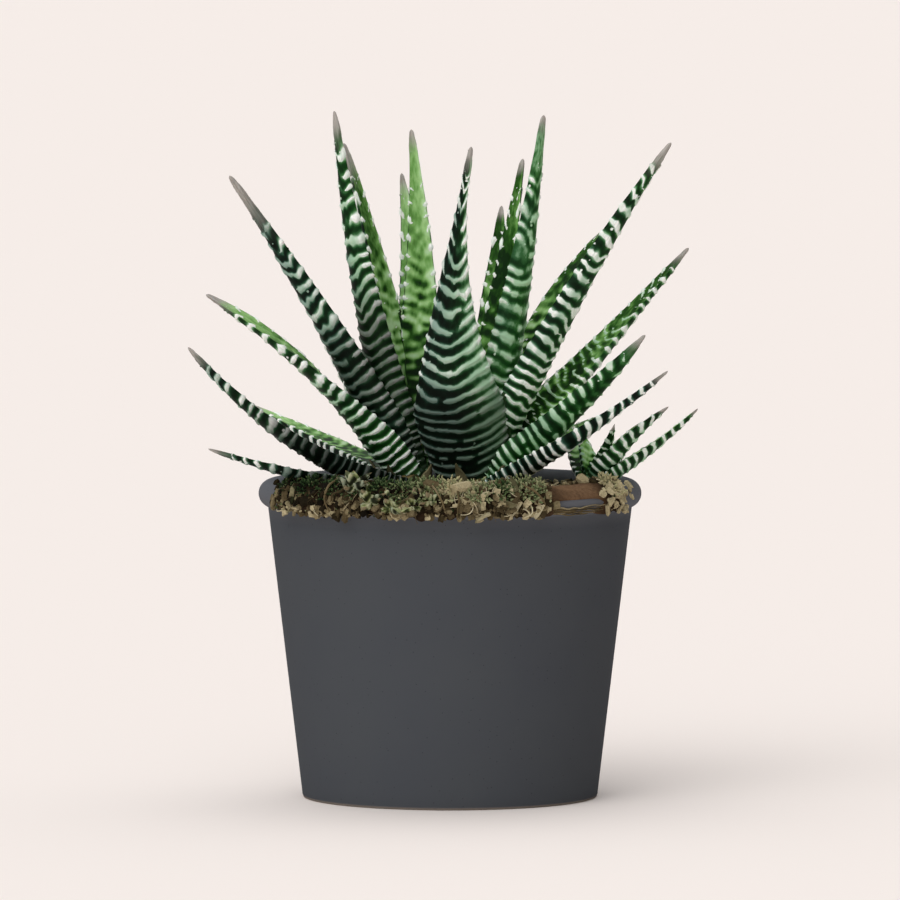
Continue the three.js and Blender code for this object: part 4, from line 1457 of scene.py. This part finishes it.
    def roots(self) -> list[Surface]:
        """Places the roots.

        Returns:
            The strands of the solids, those on the bare lip, and finer ones that creep over the soil.
        """
        draw, strands = Draw(self.root_seed), []
        rim, mouth, top, edge = self.pot.rim_radius, self.pot.mouth_radius, self.spill_top, self.spill_radius
        for i in range(self.draped_roots):
            angle = math.pi * (1.12 + (0.76 * (i + 0.6 * draw())) / self.draped_roots)
            swing = (draw() - 0.5) * 0.5
            drop = self.spill_foot + 5 * draw() - 2.5
            swings = angle + swing * np.array([0, 0.3, 0.7, 1, 1.2])
            radii = np.array([self.heap_radius + 5, mouth + 0.5, rim + 0.5, edge + 0.6, edge - 0.6])
            heights = np.array([top - 5, top + 0.6, top - 0.4, (top + drop) / 2, drop])
            if min(self.reach(angle), self.reach(angle + swing * 1.2)) > 0.8:
                path = curve(around(swings, radii, heights), 34)
                strands.append(self.strand(path, self.draped_radius, 0.1 + 0.4 * draw(), 300 + i, 8))
        round_ = self.pot.lip_round
        for i in range(self.bare_roots):
            turns = self.bare_angle + np.linspace(-0.26, 0.26, 7) + draw.within(-0.04, 0.04)
            low = self.pot.height - 2 * round_ + 0.5 + 0.2 * i + 0.5 * np.linspace(-1, 1, 7) ** 2
            low = low + draw.within(0, 0.4)
            out = np.sqrt(np.maximum(round_**2 - (low - self.pot.height + round_) ** 2, 0))
            path = curve(around(turns, rim - round_ + out + 0.3, low), 40)
            strands.append(self.strand(path, draw.within(0.12, 0.24), draw.within(0.2, 0.8), 360 + i))
        steps = np.linspace(0, 1, 16)
        while len(strands) < self.all_roots:
            start, normal = self.spot(draw, 0.72)
            heading, bend, length = draw() * ANY_WAY, draw.within(-2.4, 2.4), draw.within(*self.root_length)
            side = unit(np.cross(normal, [0.1, 0.2, 1.0]) + 1e-6)
            turning = (heading + bend * steps)[:, None]
            walk = side * np.cos(turning) + np.cross(normal, side) * np.sin(turning)
            arch = normal * draw.within(0.1, 0.9) * np.sin(math.pi * steps)[:, None]
            path = self.settle(start + np.cumsum(walk, 0) * length / 16 + arch)
            if path[:, 2].min() > (self.root_low if draw() < 0.12 else self.spill_foot - 2.6):
                thick = draw.within(*self.root_radius)
                strands.append(self.strand(path, thick, self.shade(start, draw()), 400 + len(strands), 5))
        return strands

    def settle(self, path: Array) -> Array:
        """Lays a path on the soil where it would sink in or float.

        Args:
            path: The points.

        Returns:
            The points, no lower than the soil and close above it.
        """
        mouth = self.pot.mouth_radius
        radius = np.hypot(path[:, 0], path[:, 1])
        reach = self.reach(np.arctan2(path[:, 1], path[:, 0]))
        scale = np.minimum(1, (mouth - 1 + reach * (self.spill_radius - mouth + 1.4)) / radius)
        path = path * np.stack([scale, scale, np.ones(len(path))], -1)
        ground = np.array([self.height(x, y) for x, y, _ in path])
        lifted = np.minimum(np.maximum(path[:, 2], ground + 0.1), ground + 2.4)
        path[:, 2] = np.where(radius * scale > mouth + 4, path[:, 2], lifted)
        return path

    @staticmethod
    def spent_leaf(length: float, width: float, turn: Array, foot: Array, tone: float, seed: int) -> Surface:
        """Makes one withered leaf base: a thin cupped scale with a curled, torn point.

        Args:
            length: Its length.
            width: Its width at the foot.
            turn: A rotation, as rows of three; the scale runs along its last column.
            foot: Where its foot is.
            tone: Its tone, from 0 to 1.
            seed: Which noise crumples it.

        Returns:
            The closed surface.
        """
        count, half = 14, 6
        share = np.linspace(0, 1, count)[:, None]
        lane = np.concatenate([np.linspace(-1, 1, half), np.linspace(1, -1, half)])
        face = np.repeat([0.5, -0.5], half)
        wide = width / 2 * (1 - share**1.6) * (1 + 0.2 * share) + 0.12
        curl = 0.28 * wide * lane**2 + face * 0.45 + 1.6 * share**2
        rings = np.stack(np.broadcast_arrays(lane * wide, curl, share * length), -1)
        rings = (rings + 0.4 * wobble(rings / 2.0, 5, seed) * [0.5, 1, 0.5]) @ turn.T + foot
        return Surface.tube(rings, {"tone": tone + 0.2 * noise(rings / 2, seed)})

    def spent_leaves(self) -> list[Surface]:
        """Places the withered leaf bases.

        Returns:
            The scales round the foot of each stem, and loose ones on the spill.
        """
        scales = []
        for k, stem in enumerate(STEMS.values()):
            draw, share = Draw(self.scale_seed + k), stem.radius / STEMS["left"].radius
            for i in range(self.stem_scales):
                angle, lean = ((i + 0.6 * draw()) / self.stem_scales) * TURN, 0.5 + 0.5 * draw()
                length = self.scale_length * share * (0.8 + 0.4 * draw())
                out = around(angle, 1, 0)
                along = out * math.sin(lean) + UP * math.cos(lean)
                side = unit(np.cross(along, out))
                turn = np.stack([side, np.cross(along, side), along], 1)
                foot = np.array([stem.x, stem.y, self.level]) + out * (stem.radius + 1.5) - along * 4
                tone, seed = 0.6 * draw(), 600 + 10 * k + i
                scales.append(self.spent_leaf(length, self.scale_width * share, turn, foot, tone, seed))
        draw = Draw(self.scale_seed + 9)
        for i in range(self.loose_scales):
            foot, normal = self.spot(draw, 0.75, 0.95)
            tilt = draw.within(1.2, 1.5)
            turn = facing(normal, draw() * ANY_WAY, tilt, draw() * ANY_WAY)
            length, width = draw.within(2.0, 4.6), draw.within(1.4, 2.8)
            if foot[2] + turn[2, 2] * length > self.spill_foot - 1.5:
                tone = self.shade(foot, draw())
                scales.append(self.spent_leaf(length, width, turn, foot + normal * 0.2, tone, 700 + i))
        return scales

    @staticmethod
    def shoot(foot: Array, along: Array, length: float, thick: float, tone: float, seed: int) -> Surface:
        """Makes one moss shoot: a short bent stem in whorls of leaflets, drawn as a beaded cone.

        Args:
            foot: Where it stands.
            along: The direction that it grows in.
            length: Its length.
            thick: Its radius at the widest whorl.
            tone: Its tone, from 0 to 1.
            seed: Which noise bends it.

        Returns:
            The closed surface.
        """
        share = np.linspace(0, 1, 6)[:, None]
        bend = 0.45 * length * noise(foot * 3 + np.eye(3) * seed, seed)
        line = foot + along * share * length + bend * share**2
        whorls = thick * np.array([0.6, 1.0, 0.55, 0.9, 0.45, 0.12])
        round_ = spokes(along, [0.31, 0.22, 0.9], np.arange(4) * math.pi / 2 + seed)
        rings = line[:, None] + round_ * whorls[:, None, None]
        return Surface.tube(rings, {"tone": np.clip(tone + 0.25 * (share - 0.4), 0, 1)})

    def moss(self) -> list[Surface]:
        """Places the moss.

        Returns:
            The shoots of the cushions along the brow of the spill, and stray ones between the litter.
        """
        draw, shoots = Draw(self.moss_seed), []
        for x, size, tone in self.cushions:
            middle, normal = self.lip_spot(-math.acos(x / (self.pot.rim_radius - 2)), 0.42)
            for _ in range(round(self.moss_density * size**1.5)):
                along = facing(normal, draw() * ANY_WAY, math.acos(draw()) * 0.93, draw() * ANY_WAY)[:, 2]
                foot = middle + (along - normal * 0.72 * (along @ normal)) * size * draw.within(0.5, 0.95)
                foot = foot - normal * 0.4
                if self.reach(math.atan2(foot[1], foot[0])) > 0.75 and foot[2] > self.spill_foot - 2:
                    mixed = unit(along + 0.2 * normal + [draw() - 0.5, draw() - 0.5, draw() - 0.4])
                    shade = np.clip(tone + draw.within(-0.16, 0.16), 0, 1)
                    length, thick = draw.within(0.7, 1.4), draw.within(0.24, 0.4)
                    shoots.append(self.shoot(foot, mixed, length, thick, shade, 900 + len(shoots)))
        for _ in range(self.stray_shoots):
            foot, normal = self.spot(draw, 0.45)
            tone = draw.within(0.1, 0.8)
            along = unit(normal + [draw() - 0.5, draw() - 0.5, 0.4])
            length, thick = draw.within(0.7, 1.6), draw.within(0.18, 0.32)
            shoots.append(self.shoot(foot - normal * 0.2, along, length, thick, tone, 900 + len(shoots)))
        return shoots


@dataclass
class YoungBuds:
    """Small offsets that have sprouted through the spilled litter on the left of the front lip."""

    soil: Soil
    seed: int = 5
    leaves: int = 6
    depth: float = 1.6
    # Place along the front, share over the lip, leaf length, and how mint it is and how dark its lower part
    # is painted, partly ageing and partly painted shade.
    buds: tuple[tuple[float, float, float, float, float], ...] = (
        (-24.5, 0.42, 8.0, 0.2, 0.2), (-19.5, 0.66, 7.0, 0.7, 0.1), (-14.5, 0.72, 6.5, 0.9, 0.0),
        (-9.0, 0.7, 6.0, 0.9, 0.0), (-5.0, 0.62, 5.5, 0.8, 0.1),
    )

    def build(self) -> None:
        """Makes the buds as one piece."""
        draw, parts = Draw(self.seed), []
        for x, share, length, mint, age in self.buds:
            middle, normal = self.soil.lip_spot(-math.acos(x / (self.soil.pot.rim_radius - 1)), share)
            foot = middle - normal * self.depth
            stem = Stem(*foot[:2].tolist(), 1.0, float(foot[2]))
            for k in range(self.leaves):
                open_ = 0.15 if k == 0 else draw.within(0.75, 1.2)
                along = facing(unit(normal + [0, 0, 0.35]), 0, open_, k * 2.4 + draw() * 0.5)[:, 2]
                reach = length * draw.within(0.75, 1.0)
                tip = foot + along * reach
                via = (foot + tip) / 2 + normal * 0.14 * reach
                leaf = Leaf(stem.top, tuple(via), tuple(tip), length * 0.52, length * 0.3, dry=0.7, plain=1.2,
                            white=0.0, mint=mint, wrap=0.6, pitch=1.7, painted_light_right=0.4 * mint, age=age)
                parts.append(LeafForm(stem, leaf, seed=900 + len(parts), ring_step=0.25).blade())
        Piece(Surface.joined(parts).to_object("young_buds"), HALF_DRIED_SKIN.build(), Slot.LEAF).dress()


@dataclass(frozen=True)
class Glow:
    """A broad soft light in the surround, or a black screen: where it is, how tight it is and how strong."""

    azimuth: float
    elevation: float
    tightness: float
    strength: float

    @property
    def towards(self) -> tuple[float, float, float]:
        """Gives the direction of the glow, one unit long."""
        a, e = math.radians(self.azimuth), math.radians(self.elevation)
        return math.sin(a) * math.cos(e), -math.cos(a) * math.cos(e), math.sin(e)


@dataclass
class Studio:
    """The pale floor, the soft light and the camera."""

    frame_width: float = 235.0
    elevation: float = 4.0
    distance: float = 3000.0
    aim_height: float = 90.7
    sensor: float = 36.0
    far: float = 200000.0
    sky: float = 0.413
    glows: tuple[Glow, ...] = (Glow(-27, 38, 10, 3.1), Glow(175, 66, 5, 1.24), Glow(80, 5, 2, -0.37))
    floor_size: float = 60000.0

    def build(self) -> None:
        """Makes the floor, the light and the camera."""
        self.floor()
        self.world()
        self.camera()

    def floor(self) -> None:
        """Lays the background paper under the pot."""
        corners = np.array([(-1, -1, 0), (1, -1, 0), (1, 1, 0), (-1, 1, 0)]) * self.floor_size / 2
        made = Surface(corners, [(0, 1, 2, 3)]).to_object("background_paper")
        made.data.materials.append(BACKGROUND_PAPER.build())

    def world(self) -> None:
        """Surrounds the object with soft white light, stronger at its glows."""
        world = bpy.data.worlds.new("soft_surround")
        world.use_nodes = True
        add = partial(add_node, world.node_tree)
        background = world.node_tree.nodes["Background"]
        background.inputs["Color"].default_value = (1.0, 1.0, 1.0, 1.0)
        place = add("TexCoord", output="Generated")
        whole = add("Value")
        whole.default_value = self.sky
        for glow in self.glows:
            near = add("VectorMath", {"operation": "DOT_PRODUCT", 1: glow.towards}, {0: place}, "Value")
            lit = add("Math", {"operation": "MAXIMUM", 1: 0.0}, {0: near})
            broad = add("Math", {"operation": "POWER", 1: glow.tightness}, {0: lit})
            whole = add("Math", {"operation": "MULTIPLY_ADD", 1: glow.strength}, {0: broad, 2: whole})
        world.node_tree.links.new(whole, background.inputs["Strength"])
        bpy.context.scene.world = world

    def camera(self) -> None:
        """Puts a long lens at the photograph's viewing angle."""
        lens = bpy.data.cameras.new("long_lens")
        lens.sensor_width = self.sensor
        lens.lens = self.sensor * self.distance / self.frame_width
        lens.clip_end = self.far * MM
        made = bpy.data.objects.new("camera", lens)
        bpy.context.scene.collection.objects.link(made)
        e = math.radians(self.elevation)
        away = Vector((0, -math.cos(e), math.sin(e))) * self.distance * MM
        made.location = Vector((0, 0, self.aim_height * MM)) + away
        made.rotation_euler = (math.pi / 2 - e, 0, 0)
        bpy.context.scene.camera = made
        bpy.context.scene.view_settings.view_transform = "Standard"


def main() -> None:
    """Builds the pot, the plant, the soil and the studio in order."""
    logging.basicConfig(level=logging.INFO, format="%(message)s")
    pot = Pot()
    soil = Soil(pot)
    for part in (pot, Rosettes(pot), soil, YoungBuds(soil), Studio()):
        part.build()


if __name__ == "__main__":
    main()
